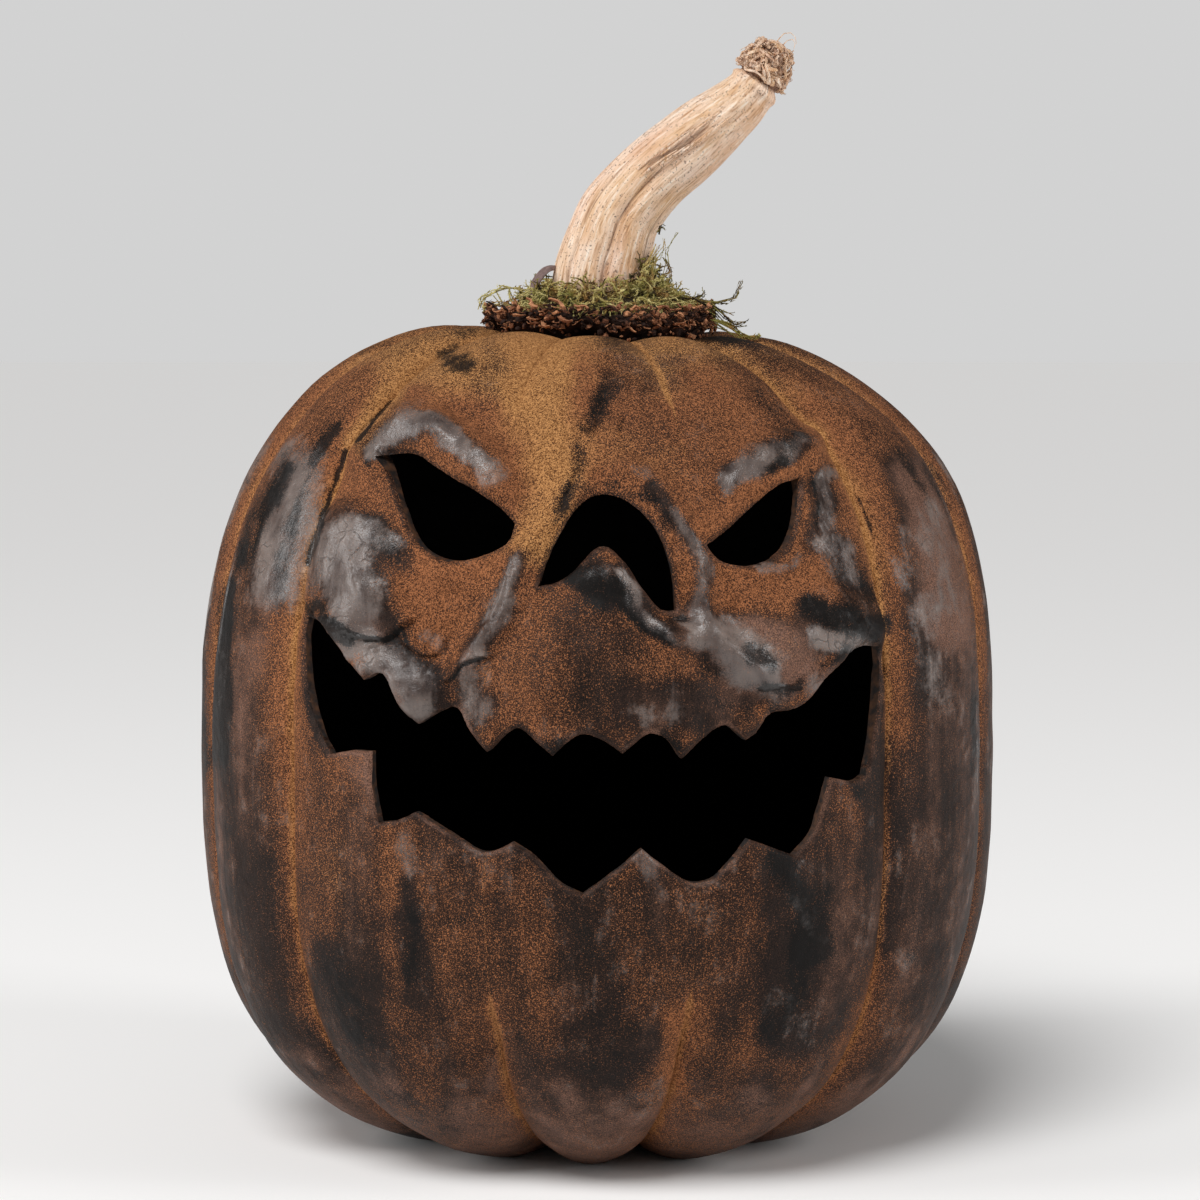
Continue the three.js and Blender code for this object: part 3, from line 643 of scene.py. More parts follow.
def onFace(turn, share, reach):  # the ribs that carry the face, and a little past them
    margin = 2.5 / body["columnsPerRib"]
    first, last = body["faceRibs"]
    low, high = reach
    return (turn > first - margin) & (turn < last + margin) & (share > low) & (share < high)


def makeSkinPiece():
    count = len(grooves)
    piece = closedBall("lantern_shell", body["columnsPerRib"] * count, body["rings"])
    azimuth, share = ballPlaces(faceCentres(piece))
    turn = ribTurns(azimuth)
    subdivideFaces(piece, onFace(turn, share, body["faceShare"]), body["faceCuts"])
    # finer again beside the carved edges and cracks
    azimuth, share = ballPlaces(faceCentres(piece))
    turn = ribTurns(azimuth)
    near = np.flatnonzero(onFace(turn, share, body["carvedShare"]))
    uv = onCard(skin(turn[near], share[near]))
    edge = rimGap(uv, body["fineBand"])
    fine = (edge > 0) & (edge < body["fineBand"])
    for path, half, _ in scratches:
        fine |= pathGap(uv, path)[0] < half + 1.5
    for path, _, _, _ in ledges:
        fine |= pathGap(uv, path)[0] < 2.4
    chosen = np.zeros(len(share), bool)
    chosen[near[fine]] = True
    subdivideFaces(piece, chosen, 1)
    azimuth, share = ballPlaces(rawPlaces(piece))
    points = skin(ribTurns(azimuth), share, 0, lambda p: reliefAt(p) + dentsAt(p) - rimDrop(p))
    moveTo(piece, points)
    return piece


def makeInnerPiece():
    count = len(grooves)
    piece = closedBall("inner_space", body["innerColumnsPerRib"] * count, body["innerRings"])
    azimuth, share = ballPlaces(rawPlaces(piece))
    moveTo(piece, skin(ribTurns(azimuth), share, -body["wall"], broadReliefAt))
    return piece


def makeCutter(name, outline):  # square to the wall near the skin, along the sight outside
    count = len(outline)
    bpy.ops.object.select_all(action="DESELECT")
    bpy.ops.mesh.primitive_cylinder_add(vertices=count, radius=1, depth=2, end_fill_type="NGON")
    cutter = bpy.context.object
    cutter.name = name
    subdivideUprights(cutter, 1)
    places = rawPlaces(cutter)
    turn = np.round(np.degrees(np.arctan2(places[:, 1], places[:, 0])) / (360 / count)).astype(int) % count
    ring = np.round(places[:, 2]).astype(int) + 1  # 0 inside, 1 on the skin, 2 in front
    moveTo(cutter, np.column_stack([outline[turn], ring]))  # the caps are split while they are flat
    editWhole(cutter, bpy.ops.mesh.quads_convert_to_tris, quad_method="BEAUTY", ngon_method="BEAUTY")
    onSkin = seenOnSkin(outline)
    axis = np.array([body["axisX"], 0, 0])
    inside, outside = body["cutReach"]
    rings = [axis + (onSkin - axis) * (inside, inside, 1), axis + (onSkin - axis) * (outside, outside, 1),
             fromCard(outline, np.full(count, body["cutFront"]))]
    moveTo(cutter, np.stack(rings)[ring, turn])
    editWhole(cutter, bpy.ops.mesh.normals_make_consistent, inside=False)
    return cutter


# where the powder lies, where it is yellower, and where the skin is filmed over, rubbed or sooty; the rubbed
# marks also paint the lights' sheen and highlights, and the soot also paints shade in cracks, hollows and
# under ledges
paint = {  # (path, half width, amount)
    "powder": [
        ([(-20, 98), (-18, 60), (-20, 30)], 26, 0.2), ([(-72, 5), (-60, -6), (-62, -13)], 15, 0.35),
        ([(-76, 20), (-60, 11), (-44, 13)], 9, 0.3), ([(40, 6), (60, 2), (80, 4)], 16, 0.25),
        ([(42, 27), (56, 39), (70, 48), (79, 50)], 6, 0.35), ([(-104, 45), (-92, 30)], 12, 0.2),
        ([(-94, -62), (-90, -88), (-84, -110)], 13, 0.12), ([(-70, -95), (-58, -132)], 18, 0.15),
        ([(-30, -110), (-20, -150)], 16, 0.08), ([(92, -80), (96, -110)], 10, 0.12),
        ([(-95, -24), (-91, -20)], 4.5, 0.8), ([(62, -42), (78, -38)], 6, 0.4),
        ([(-46, 30), (-40, 24)], 8, 0.2), ([(8, 98), (18, 88), (26, 86)], 13, -0.4),
        ([(40, 103), (60, 84), (72, 62)], 13, -0.3), ([(4, 82), (-3, 66)], 6, -0.4),
        ([(-7, 55), (-14, 37)], 4, -0.4), ([(-38, 96), (-42, 80)], 7, -0.25),
        ([(-66, 73), (-50, 70), (-38, 57)], 9, 0.05),
        ([(-86, 55), (-78, 66), (-66, 67), (-56, 61), (-46, 54)], 7.5, -0.55),
        ([(-97, 26), (-95, 8), (-89, -5)], 17, -0.8), ([(-86, 27), (-78, 21), (-74, 13)], 8, -0.7),
        ([(-92, -15), (-80, -22), (-73, -32), (-69, -42)], 12, -0.8),
        ([(49, 47), (56, 52), (66, 57), (75, 59)], 6, -0.7), ([(40, -12), (52, -20), (62, -30)], 15, -0.8),
        ([(60, -12), (72, -17), (76, -26)], 13, -0.5), ([(79, -3), (92, -7), (104, -12)], 8, -1.0),
        ([(80, -14), (98, -19)], 7, -0.8), ([(84, 25), (92, 13), (97, 2)], 9, -0.5),
        ([(82, 47), (86, 34)], 7, -0.6), ([(20, 41), (31, 28), (36, 17), (40, 0), (40, -7)], 4.5, -0.55),
        ([(-33, 16), (-37, -3), (-43, -14), (-50, -24)], 5.5, -0.7), ([(-6, 12), (3, 4)], 10, -0.55),
        ([(6, 12), (14, 1), (22, -10), (30, -15)], 5, -0.8), ([(-4, -10), (-4, -30), (0, -40)], 24, -0.26),
        ([(14, -38), (26, -40), (40, -42)], 12, -0.4), ([(110, -60), (108, -130)], 12, -0.35),
        ([(-52, -30), (-46, -40)], 9, -0.3), ([(72, -108), (80, -128), (76, -160)], 17, -0.45),
        ([(-98, -140), (-92, -168)], 16, -0.6), ([(-72, -108), (-70, -150)], 7, -0.45),
        ([(-4, -116), (0, -150), (2, -190)], 19, -0.22), ([(104, 10), (106, -40), (104, -80)], 9, -0.25),
        ([(10, 74), (36, 62)], 20, -0.12), ([(28, -158), (26, -182)], 6, 0.35),
        ([(140, 32), (146, -30)], 6, 0.15), ([(60, -70), (66, -90)], 12, 0.1),
        ([(-116, 46), (-121, 25), (-124, 4)], 11, -0.6), ([(118, 48), (126, 28)], 12, -0.35),
        ([(124, 4), (127, -36)], 11, -0.3),
    ],
    "ochre": [
        ([(-26, 100), (-22, 72), (-18, 46), (-24, 22)], 18, 0.7),
        ([(-62, 101), (0, 106), (45, 100)], 12, 0.5), ([(-74, 92), (-40, 84)], 15, 0.45),
        ([(-80, 76), (-90, 60)], 8, 0.5), ([(0, 60), (24, 52)], 13, 0.3),
        ([(-94, -9), (-84, -12)], 3.5, 0.8), ([(60, -12), (74, -18)], 12, 0.35),
        ([(-100, -95), (-92, -130)], 12, 0.2),
    ],
    "film": [
        ([(60, -12), (74, -17), (78, -28)], 13, 1.15), ([(38, -14), (50, -22), (60, -31)], 17, 0.85),
        ([(12, -38), (28, -41), (42, -40)], 12, 0.5), ([(-92, -15), (-80, -22), (-73, -32)], 13, 0.5),
        ([(-50, -24), (-48, -44)], 10, 0.5), ([(-97, 26), (-95, 8), (-89, -5)], 18, 0.6),
        ([(84, 40), (90, 14)], 10, 0.45), ([(14, 96), (24, 86)], 13, 0.5),
        ([(-33, 16), (-38, -5), (-47, -20)], 8, 0.5), ([(22, 40), (36, 17), (40, -6)], 6, 0.4),
        ([(20, -100), (26, -130)], 9, 0.3), ([(-38, -98), (-34, -118)], 9, 0.25),
        ([(50, 46), (74, 59)], 8, 0.4), ([(-122, 8), (-125, -26)], 10, 0.6),
        ([(118, 48), (127, 22), (130, -10)], 14, 0.8), ([(-110, 50), (-118, 20)], 15, 0.75),
        ([(-97, -60), (-90, -66)], 6, 0.5),
    ],
    # rubbed places: partly a real grey-brown smear, partly painted sheen on the brows, cheeks and lobe
    # crests, and painted highlights on ridges under the right eye, along the nose tip and on the lower right
    # cheek
    "wornAndSheen": [
        ([(-86, 55), (-80, 64), (-74, 68)], 6, 0.8), ([(-72, 68.5), (-63, 66.5), (-57, 62)], 7.5, 1.0),
        ([(-55, 60), (-48, 55.5), (-41, 48)], 6.5, 0.75), ([(-97, 22), (-97, 8), (-91, -4)], 15, 0.85),
        ([(-88, 28), (-78, 22)], 7, 0.6), ([(-92, -18), (-80, -23), (-71, -32), (-69, -42)], 10, 0.95),
        ([(-66, -14), (-60, -18)], 6, 0.6), ([(48, 46), (55, 50)], 7, 0.9), ([(58, 54), (72, 60)], 7, 0.6),
        ([(42, -14), (50, -19), (58, -26)], 13, 1.0), ([(57, -24), (64, -34)], 8, 0.45),
        ([(20, -40), (27, -42)], 6, 0.25), ([(84, -13), (98, -17)], 6, 0.9),
        ([(29, 34), (34, 25), (38, 12), (40.5, -6)], 4, 0.65),
        ([(-34, 15), (-38, -4), (-45, -16)], 5, 0.55), ([(-47, -22), (-50, -32), (-47, -44)], 8, 0.5),
        ([(62, 10.5), (70, 13), (76, 17)], 3.5, 0.8), ([(84, 46), (88, 30)], 5, 0.7),
        ([(88, 22), (93, 10)], 8, 0.5), ([(7, 10), (16, -3), (26, -13)], 3.2, 0.9),
        ([(10, -40), (16, -44)], 6, 0.35), ([(30, -36), (31, -44)], 6, 0.4),
        ([(72, -42), (84, -32)], 4, 0.5), ([(-74, -88), (-72, -100)], 6, 0.5),
        ([(-30, -96), (-36, -112)], 5, 0.35), ([(18, -98), (22, -112)], 6, 0.4),
        ([(66, -150), (74, -165)], 10, 0.3), ([(14, 50), (19, 46)], 3, 0.5),
        ([(-112, 50), (-118, 28), (-121, 6)], 14, 1.0), ([(113, 28), (117, 6)], 4, 0.6),
        ([(122, 34), (128, 22), (131, 0)], 8, 0.5), ([(124, -4), (127, -34)], 9, 0.45),
    ],
    "sootAndShade": [
        ([(-57, 92.5), (-50, 90)], 7, 1.0), ([(4, 80), (1, 72), (-4, 64)], 6, 0.5),
        ([(-4, 60), (-9, 48), (-15, 35)], 4, 0.5), ([(-62, 73), (-50, 69), (-40, 59)], 7, 0.22),
        ([(-16, 30), (-6, 41), (8, 43), (20, 37), (27, 26)], 4.5, 0.6), ([(-7, 8), (0, 2)], 9, 0.75),
        ([(6, 6), (18, -10), (25, -16)], 5, 0.6), ([(80, -2), (92, -6), (104, -11)], 8, 0.8),
        ([(56, -19), (62, -24)], 5, 0.5), ([(62, -34), (78, -33)], 3, 0.5),
        ([(64, -40), (76, -38)], 2.5, 0.5), ([(-84, 25), (-77, 16)], 6, 0.4),
        # painted shade in the hollow of the right brow and under the left lip's ledge
        ([(64, 51), (69, 55)], 4, 0.9), ([(-111, -1), (-104, -8), (-97, -13)], 4, 0.9),
        ([(70, -100), (80, -116), (80, -132)], 10, 0.7), ([(76, -130), (74, -150), (66, -164)], 8, 0.45),
        ([(-100, -140), (-92, -165)], 11, 0.4), ([(-73, -106), (-71, -122)], 4, 0.35),
        ([(-70, -124), (-72, -142)], 4.5, 0.45), ([(-60, -124), (-54, -121)], 3, 0.5),
        # this line and the next three: painted shade in cracks and scratches beside the grooves, on the
        # forehead and under the nose
        ([(97.5, 39.5), (104.5, 22.5)], 1.4, 0.9), ([(98, 20), (105, -10)], 3, 0.5),
        ([(-77.5, 78), (-83, 71.5), (-92.5, 60)], 1.2, 1.2),
        ([(-96.5, 56), (-103, 37), (-111, 14)], 1.7, 1.2), ([(-89, 51), (-88, 49)], 3, 0.7),
        ([(8.8, 69.4), (7.4, 62.6)], 1.6, 0.5), ([(28, -8), (35, -8)], 2.5, 0.5),
        ([(14, 92), (24, 87)], 10, 0.35), ([(40, -30), (45, -28)], 5, 0.4),
        ([(44, 100), (60, 84), (72, 64)], 11, 0.25), ([(88, -26), (96, -19), (105, -19)], 3, 0.7),
        ([(-17.5, -57), (-17.5, -53)], 4.5, 0.6), ([(26, -50), (32, -56)], 5, 0.6),
        ([(-8, -120), (2, -170)], 14, 0.15), ([(-40, -110), (-38, -170)], 9, 0.1),
        ([(96, -60), (98, -74)], 4, 0.4), ([(-52, 20), (-46, 17)], 3, 0.3),
        ([(50, -40), (44, -36)], 4, 0.45), ([(62, 77), (72, 66)], 9, 0.25),
        ([(-102, 65), (-110, 57)], 4.5, 0.95), ([(-119, 50), (-127, 35), (-135, 16)], 5, 0.7),
        ([(-141, 4), (-143, -25), (-144, -60)], 5, 0.85), ([(123, 54), (132, 38)], 5, 0.6),
        ([(141, -38), (142, -62)], 4, 0.7), ([(-86, -186), (-60, -200)], 12, 0.2),
        ([(16, -186), (60, -196)], 12, 0.2),
        # painted shadow under the overhanging ledges of the lips, in the wrinkles below the left cheek and
        # in the crow's feet of the right eye
        ([(-104, -7), (-96.5, -12), (-89, -14.6), (-82, -15.4), (-78, -14), (-75.5, -11)], 1.3, 1.2),
        ([(-74.5, -12), (-73, -16.5), (-70, -19.2), (-66, -21.4), (-62, -21.3)], 1.2, 0.7),
        ([(-57, -30.5), (-52.5, -25.3), (-49, -23.3), (-43, -21.8)], 1.1, 1.0),
        ([(-69, -18), (-69, -14.5), (-66.5, -11.5)], 0.9, 0.5),
        ([(-65.5, -19), (-64.5, -15.5), (-62, -12)], 0.9, 0.4),
        ([(60, -34), (68, -33.2), (76, -33.6)], 1.2, 0.7),
        ([(80, 50), (81, 43), (83, 36), (82, 29)], 1.0, 0.6),
    ],
}


def paintShell(piece, points):
    x, y = points[:, 0] - body["axisX"], -points[:, 1] / body["flat"]
    azimuth, radius = np.degrees(np.arctan2(x, y)), np.hypot(x, y)
    angle = np.arctan2(points[:, 2] - body["middle"], radius)
    table = np.arctan2(section["z"] - body["middle"], section["r"])
    share = np.interp(angle, table, section["share"])
    turn = ribTurnAt(azimuth, share)
    across = turn % 1
    depth = np.where(across < 0.5, grooveDepth(np.floor(turn).astype(int), share),
                     grooveDepth(np.ceil(turn).astype(int), share))
    deep = smoothStep(depth, 1, 4)
    grooveGap = (turn - np.round(turn)) * math.radians(30) * radius + 0.8 * noiseAt(points, 9, 70)
    beside = np.exp(-(grooveGap / 7) ** 2) * deep
    crest = np.sin(math.pi * across)
    z = points[:, 2]
    front = points[:, 1] < -20
    crisp, loose = np.full((len(points), 2), 1e4), np.full((len(points), 2), 1e4)
    crisp[front] = onCard(points[front]) + waver(points[front], 5, 0.7, 64)
    wide, narrow = waver(points[front], 15, 4.0, 65), waver(points[front], 6, 1.3, 66)
    loose[front] = onCard(points[front]) + wide + narrow
    clouds = noiseAt(points, 60, 5)
    streaks = noiseAt(points * (1, 1, 0.22), 20, 8)
    bands = noiseAt(points * (1, 1, 0.1), 12, 9) * (1 - smoothStep(z, 150, 200)) * smoothStep(z, 10, 40)
    side = smoothStep(np.abs(azimuth), 47, 56)
    onCrest = side * smoothStep(crest, 0.35, 0.9)
    middle = smoothStep(z, 60, 120) * (1 - smoothStep(z, 225, 270))
    edge = np.zeros(len(points))
    edge[front] = 1 - smoothStep(rimGap(onCard(points[front]), 2.4), 0.4, 2.4)
    base = {
        # less powder low down: partly the lower body's own darker paint, partly painted shade for the light
        # falling off downward
        "powder": (0.16 + 0.06 * smoothStep(z, 20, 110) + 0.36 * smoothStep(z, 120, 260)
                   + (0.17 + 0.1 * smoothStep(z, 60, 190)) * beside
                   + 0.12 * clouds + 0.22 * bands - 0.3 * onCrest * (0.5 + 0.5 * middle)
                   - 0.1 * side * smoothStep(azimuth, 40, 60) - 0.35 * edge),
        "ochre": 0.35 * beside * smoothStep(z, 110, 240) + 0.4 * smoothStep(z, 275, 302),
        "film": (0.35 * onCrest * middle + 0.3 * onCrest * smoothStep(clouds, -0.2, 0.4) + 0.55 * edge
                 + 0.9 * np.clip(-bands, 0, 1) + 0.85 * (1 - smoothStep(z, 15, 60))),
        # grey on the upper crests of the side lobes: painted sheen of the side lights
        "wornAndSheen": (onCrest * (np.abs(azimuth) > 70) * smoothStep(z, 170, 210) * (1 - smoothStep(z, 250, 280))
                 * smoothStep(streaks, -0.3, 0.3)),
        "sootAndShade": (0.55 * side * smoothStep(streaks, 0.12, 0.42)
                 # more soot towards the foot: partly the darker paint, partly painted shade
                 + 0.22 * smoothStep(-z, -75, -15) * smoothStep(clouds, -0.4, 0.3)
                 + 0.08 * smoothStep(-z, -130, -60)),
    }
    # millimetres from the bottom of the groove, negative on its other side
    addNumbers(piece, "furrow", grooveGap / np.maximum(deep, 0.04))
    for name, strokes in paint.items():
        total = base[name]
        for path, half, amount in strokes:
            gap, _ = pathGap(loose if half > 2 else crisp, path)
            total = total + amount * (1 - smoothStep(gap, 0.15 * half, 1.15 * half))
        addNumbers(piece, name, np.clip(total, 0, 1.2))


# moulded foam-latex shell, brown-black where bare, dusted by hand with rust and ochre powder, and rubbed or
# licked over here and there: matte grains on a dark ground that shines softly where rubbed; the grey of the
# rubbed places is partly painted sheen and painted highlights
shellFinish = {
    "groundDark": "#140d0a", "groundLight": "#2c1d16", "browned": "#523220",
    "filmDark": "#33231c", "filmLight": "#5c4134", "filmPale": "#7a594a",
    "rustDark": "#452717", "rustLight": "#a26843", "ochreDark": "#6b4220", "ochreLight": "#bf8a56",
    # the rubbed grey, dark and light, partly paints the sheen of the lights
    "wornSheenDark": "#463a36", "wornSheenLight": "#80736c", "sootAndShade": "#0b0908",
    # sizes in millimetres, then how rough the bare skin and the powder are
    "grain": 0.45, "coarseGrain": 1.3, "dimple": 6.0, "patch": 15.0, "cloud": 42.0, "streak": 3.0,
    "crack": 7.0, "satin": 0.55, "dusty": 0.9,
}


def makeShellMaterial():
    look = shellFinish
    m = newMaterial("rust_dusted_moulded_shell")
    place = addNode(m, "ShaderNodeTexCoord").outputs["Object"]
    tall = addNode(m, "ShaderNodeMapping", {"Vector": place, "Scale": (1, 1, 0.13)})
    powder, ochre, film, wornAndSheen, sootAndShade, furrow = (
        addNode(m, "ShaderNodeAttribute", attribute_name=name).outputs["Fac"]
        for name in ("powder", "ochre", "film", "wornAndSheen", "sootAndShade", "furrow"))
    grain, coarse, dimple, patch, cloud = (
        addNode(m, "ShaderNodeTexNoise",
                {"Vector": place, "Scale": 1 / (look[name] * mm), "Detail": detail, "Roughness": 0.55})
        for name, detail in (("grain", 1), ("coarseGrain", 2), ("dimple", 2), ("patch", 2), ("cloud", 2)))
    streak = addNode(m, "ShaderNodeTexNoise",
                     {"Vector": tall, "Scale": 1 / (look["streak"] * mm), "Detail": 3, "Roughness": 0.6})
    # uneven cover: patches, clouds and downward streaks, all centred on 0
    uneven = -0.725
    for texture, share in ((streak, 0.4), (cloud, 0.5), (patch, 0.55)):
        uneven = addNode(m, "ShaderNodeMath", {0: texture, 1: share, 2: uneven}, operation="MULTIPLY_ADD")
    cover = addNode(m, "ShaderNodeMath", {0: uneven, 1: 0.75, 2: powder}, operation="MULTIPLY_ADD")
    # a line of powder lies in the bottom of each groove, broken in places
    line = addNode(m, "ShaderNodeMath", {0: furrow}, operation="ABSOLUTE")
    line = addNode(m, "ShaderNodeMath", {0: dimple, 1: -3.0, 2: line}, operation="MULTIPLY_ADD")
    line = addNode(m, "ShaderNodeMapRange", {"Value": line, "From Min": 1.6, "From Max": -1.4},
                   interpolation_type="SMOOTHSTEP")
    cover = addNode(m, "ShaderNodeMath", {0: line, 1: 0.4, 2: cover}, operation="MULTIPLY_ADD")
    ochre = addNode(m, "ShaderNodeMath", {0: line, 1: 0.4, 2: ochre}, operation="MULTIPLY_ADD")
    # grains show one by one where the cover is thin and close up where it is thick
    grains = -0.71
    for texture, share in ((grain, 0.88), (coarse, 0.12), (cover, 0.42)):
        grains = addNode(m, "ShaderNodeMath", {0: texture, 1: share, 2: grains}, operation="MULTIPLY_ADD")
    dust = addNode(m, "ShaderNodeMapRange", {"Value": grains, "From Min": -0.12, "From Max": 0.11},
                   interpolation_type="SMOOTHSTEP")
    # the ground: brown between the grains, with a thin grey-brown film in places
    ground = addNode(m, "ShaderNodeMix", {0: patch, 6: look["groundDark"], 7: look["groundLight"]},
                     data_type="RGBA")
    browned = addNode(m, "ShaderNodeMapRange",
                      {"Value": cover, "From Min": 0.0, "From Max": 0.75, "To Max": 0.95},
                      interpolation_type="SMOOTHSTEP")
    ground = addNode(m, "ShaderNodeMix", {0: browned, 6: ground, 7: look["browned"]}, data_type="RGBA")
    filmed = addNode(m, "ShaderNodeMath", {0: uneven, 1: 1.8, 2: film}, operation="MULTIPLY_ADD")
    filmed = addNode(m, "ShaderNodeMapRange",
                     {"Value": filmed, "From Min": 0.1, "From Max": 0.9, "To Max": 0.9},
                     interpolation_type="SMOOTHSTEP")
    filmTone = addNode(m, "ShaderNodeMapRange", {"Value": dimple, "From Min": 0.35, "From Max": 0.65})
    filmTone = addNode(m, "ShaderNodeMix",
                       {0: filmTone, 6: look["filmDark"], 7: look["filmLight"]}, data_type="RGBA")
    thick = addNode(m, "ShaderNodeMapRange",
                    {"Value": film, "From Min": 0.6, "From Max": 1.2, "To Max": 0.8})
    filmTone = addNode(m, "ShaderNodeMix", {0: thick, 6: filmTone, 7: look["filmPale"]}, data_type="RGBA")
    ground = addNode(m, "ShaderNodeMix", {0: filmed, 6: ground, 7: filmTone}, data_type="RGBA")
    # the ground is as grainy as the powder on it
    fleck = addNode(m, "ShaderNodeMapRange",
                    {"Value": grain, "From Min": 0.32, "From Max": 0.68, "To Min": 0.4, "To Max": 1.7})
    ground = addNode(m, "ShaderNodeMix",
                     {0: 1.0, 6: ground, 7: fleck}, data_type="RGBA", blend_type="MULTIPLY")
    # rubbed places: a grey-brown smear with streaks, under the last grains; the grey is partly a painted
    # sheen and painted highlights of the lights
    rubbedAndSheen = wornAndSheen
    for texture, share in ((uneven, 1.7), (dimple, 0.8), (coarse, 0.6)):
        rubbedAndSheen = addNode(m, "ShaderNodeMath", {0: texture, 1: share, 2: rubbedAndSheen}, operation="MULTIPLY_ADD")
    rubbedAndSheen = addNode(m, "ShaderNodeMapRange",
                     {"Value": rubbedAndSheen, "From Min": 0.8, "From Max": 1.6, "To Max": 0.94},
                     interpolation_type="SMOOTHSTEP")
    wornSheenGrey = addNode(m, "ShaderNodeMath", {0: streak, 1: 0.25, 2: patch}, operation="MULTIPLY_ADD")
    wornSheenGrey = addNode(m, "ShaderNodeMapRange", {"Value": wornSheenGrey, "From Min": 0.4, "From Max": 0.85})
    wornSheenGrey = addNode(m, "ShaderNodeMix",
                   {0: wornSheenGrey, 6: look["wornSheenDark"], 7: look["wornSheenLight"]}, data_type="RGBA")
    ground = addNode(m, "ShaderNodeMix", {0: rubbedAndSheen, 6: ground, 7: wornSheenGrey}, data_type="RGBA")
    # fine cracks in the rubbed skin, in some places only
    warp = addNode(m, "ShaderNodeVectorMath",
                   {0: dimple.outputs["Color"], 1: (0.006, 0.006, 0.006), 2: place},
                   operation="MULTIPLY_ADD")
    cell = addNode(m, "ShaderNodeTexVoronoi", {"Vector": warp, "Scale": 1 / (look["crack"] * mm)},
                   feature="DISTANCE_TO_EDGE")
    crack = addNode(m, "ShaderNodeMapRange",
                    {"Value": cell, "From Min": 0.06, "From Max": 0.01, "To Max": 0.6})
    broken = addNode(m, "ShaderNodeMath", {0: patch, 1: cloud}, operation="ADD")
    broken = addNode(m, "ShaderNodeMapRange", {"Value": broken, "From Min": 1.02, "From Max": 1.15})
    crack = addNode(m, "ShaderNodeMath", {0: crack, 1: broken}, operation="MULTIPLY")
    crack = addNode(m, "ShaderNodeMath", {0: crack, 1: rubbedAndSheen}, operation="MULTIPLY")
    ground = addNode(m, "ShaderNodeMix", {0: crack, 6: ground, 7: look["groundDark"]}, data_type="RGBA")
    # the powder itself
    shade = addNode(m, "ShaderNodeMath", {0: coarse, 1: 0.5, 2: grain}, operation="MULTIPLY_ADD")
    shade = addNode(m, "ShaderNodeMapRange", {"Value": shade, "From Min": 0.6, "From Max": 0.92})
    rust = addNode(m, "ShaderNodeMix",
                   {0: shade, 6: look["rustDark"], 7: look["rustLight"]}, data_type="RGBA")
    yellow = addNode(m, "ShaderNodeMix",
                     {0: shade, 6: look["ochreDark"], 7: look["ochreLight"]}, data_type="RGBA")
    tint = addNode(m, "ShaderNodeMath", {0: patch, 1: 0.6, 2: ochre}, operation="MULTIPLY_ADD")
    tint = addNode(m, "ShaderNodeMapRange", {"Value": tint, "From Min": 0.35, "From Max": 1.1},
                   interpolation_type="SMOOTHSTEP")
    dustColour = addNode(m, "ShaderNodeMix", {0: tint, 6: rust, 7: yellow}, data_type="RGBA")
    thin = addNode(m, "ShaderNodeMath", {0: rubbedAndSheen, 1: -0.5, 2: 1}, operation="MULTIPLY_ADD")
    dust = addNode(m, "ShaderNodeMath", {0: dust, 1: thin}, operation="MULTIPLY")
    colour = addNode(m, "ShaderNodeMix", {0: dust, 6: ground, 7: dustColour}, data_type="RGBA")
    # soot, and painted shade in cracks, hollows and under ledges: black specks that close up
    black = addNode(m, "ShaderNodeMath", {0: grains, 1: -1.0, 2: sootAndShade}, operation="MULTIPLY_ADD")
    black = addNode(m, "ShaderNodeMath", {0: dimple, 1: 0.9, 2: black}, operation="MULTIPLY_ADD")
    black = addNode(m, "ShaderNodeMapRange",
                    {"Value": black, "From Min": 0.75, "From Max": 1.3, "To Max": 0.92},
                    interpolation_type="SMOOTHSTEP")
    colour = addNode(m, "ShaderNodeMix", {0: black, 6: colour, 7: look["sootAndShade"]}, data_type="RGBA")
    matte = addNode(m, "ShaderNodeMath", {0: dust, 1: black}, operation="SUBTRACT", use_clamp=True)
    rough = addNode(m, "ShaderNodeMapRange",
                    {"Value": matte, "To Min": look["satin"], "To Max": look["dusty"]})
    gloss = addNode(m, "ShaderNodeMath", {0: rubbedAndSheen, 1: matte}, operation="SUBTRACT", use_clamp=True)
    # heights in millimetres
    height = addNode(m, "ShaderNodeMath", {0: grain, 1: 0.15}, operation="MULTIPLY")
    for part, tall in ((dust, 0.12), (dimple, 0.6), (patch, 1.5), (streak, 0.12), (crack, -0.35)):
        height = addNode(m, "ShaderNodeMath", {0: part, 1: tall, 2: height}, operation="MULTIPLY_ADD")
    bump = addNode(m, "ShaderNodeBump", {"Height": height, "Strength": 0.8, "Distance": mm})
    shader = addNode(m, "ShaderNodeBsdfPrincipled",
                     {"Base Color": colour, "Roughness": rough, "Normal": bump, "IOR": 1.48,
                      "Specular IOR Level": 0.15, "Coat Weight": gloss, "Coat Roughness": 0.24,
                      "Coat IOR": 1.5, "Coat Normal": bump})
    addNode(m, "ShaderNodeOutputMaterial", {"Surface": shader})
    return m


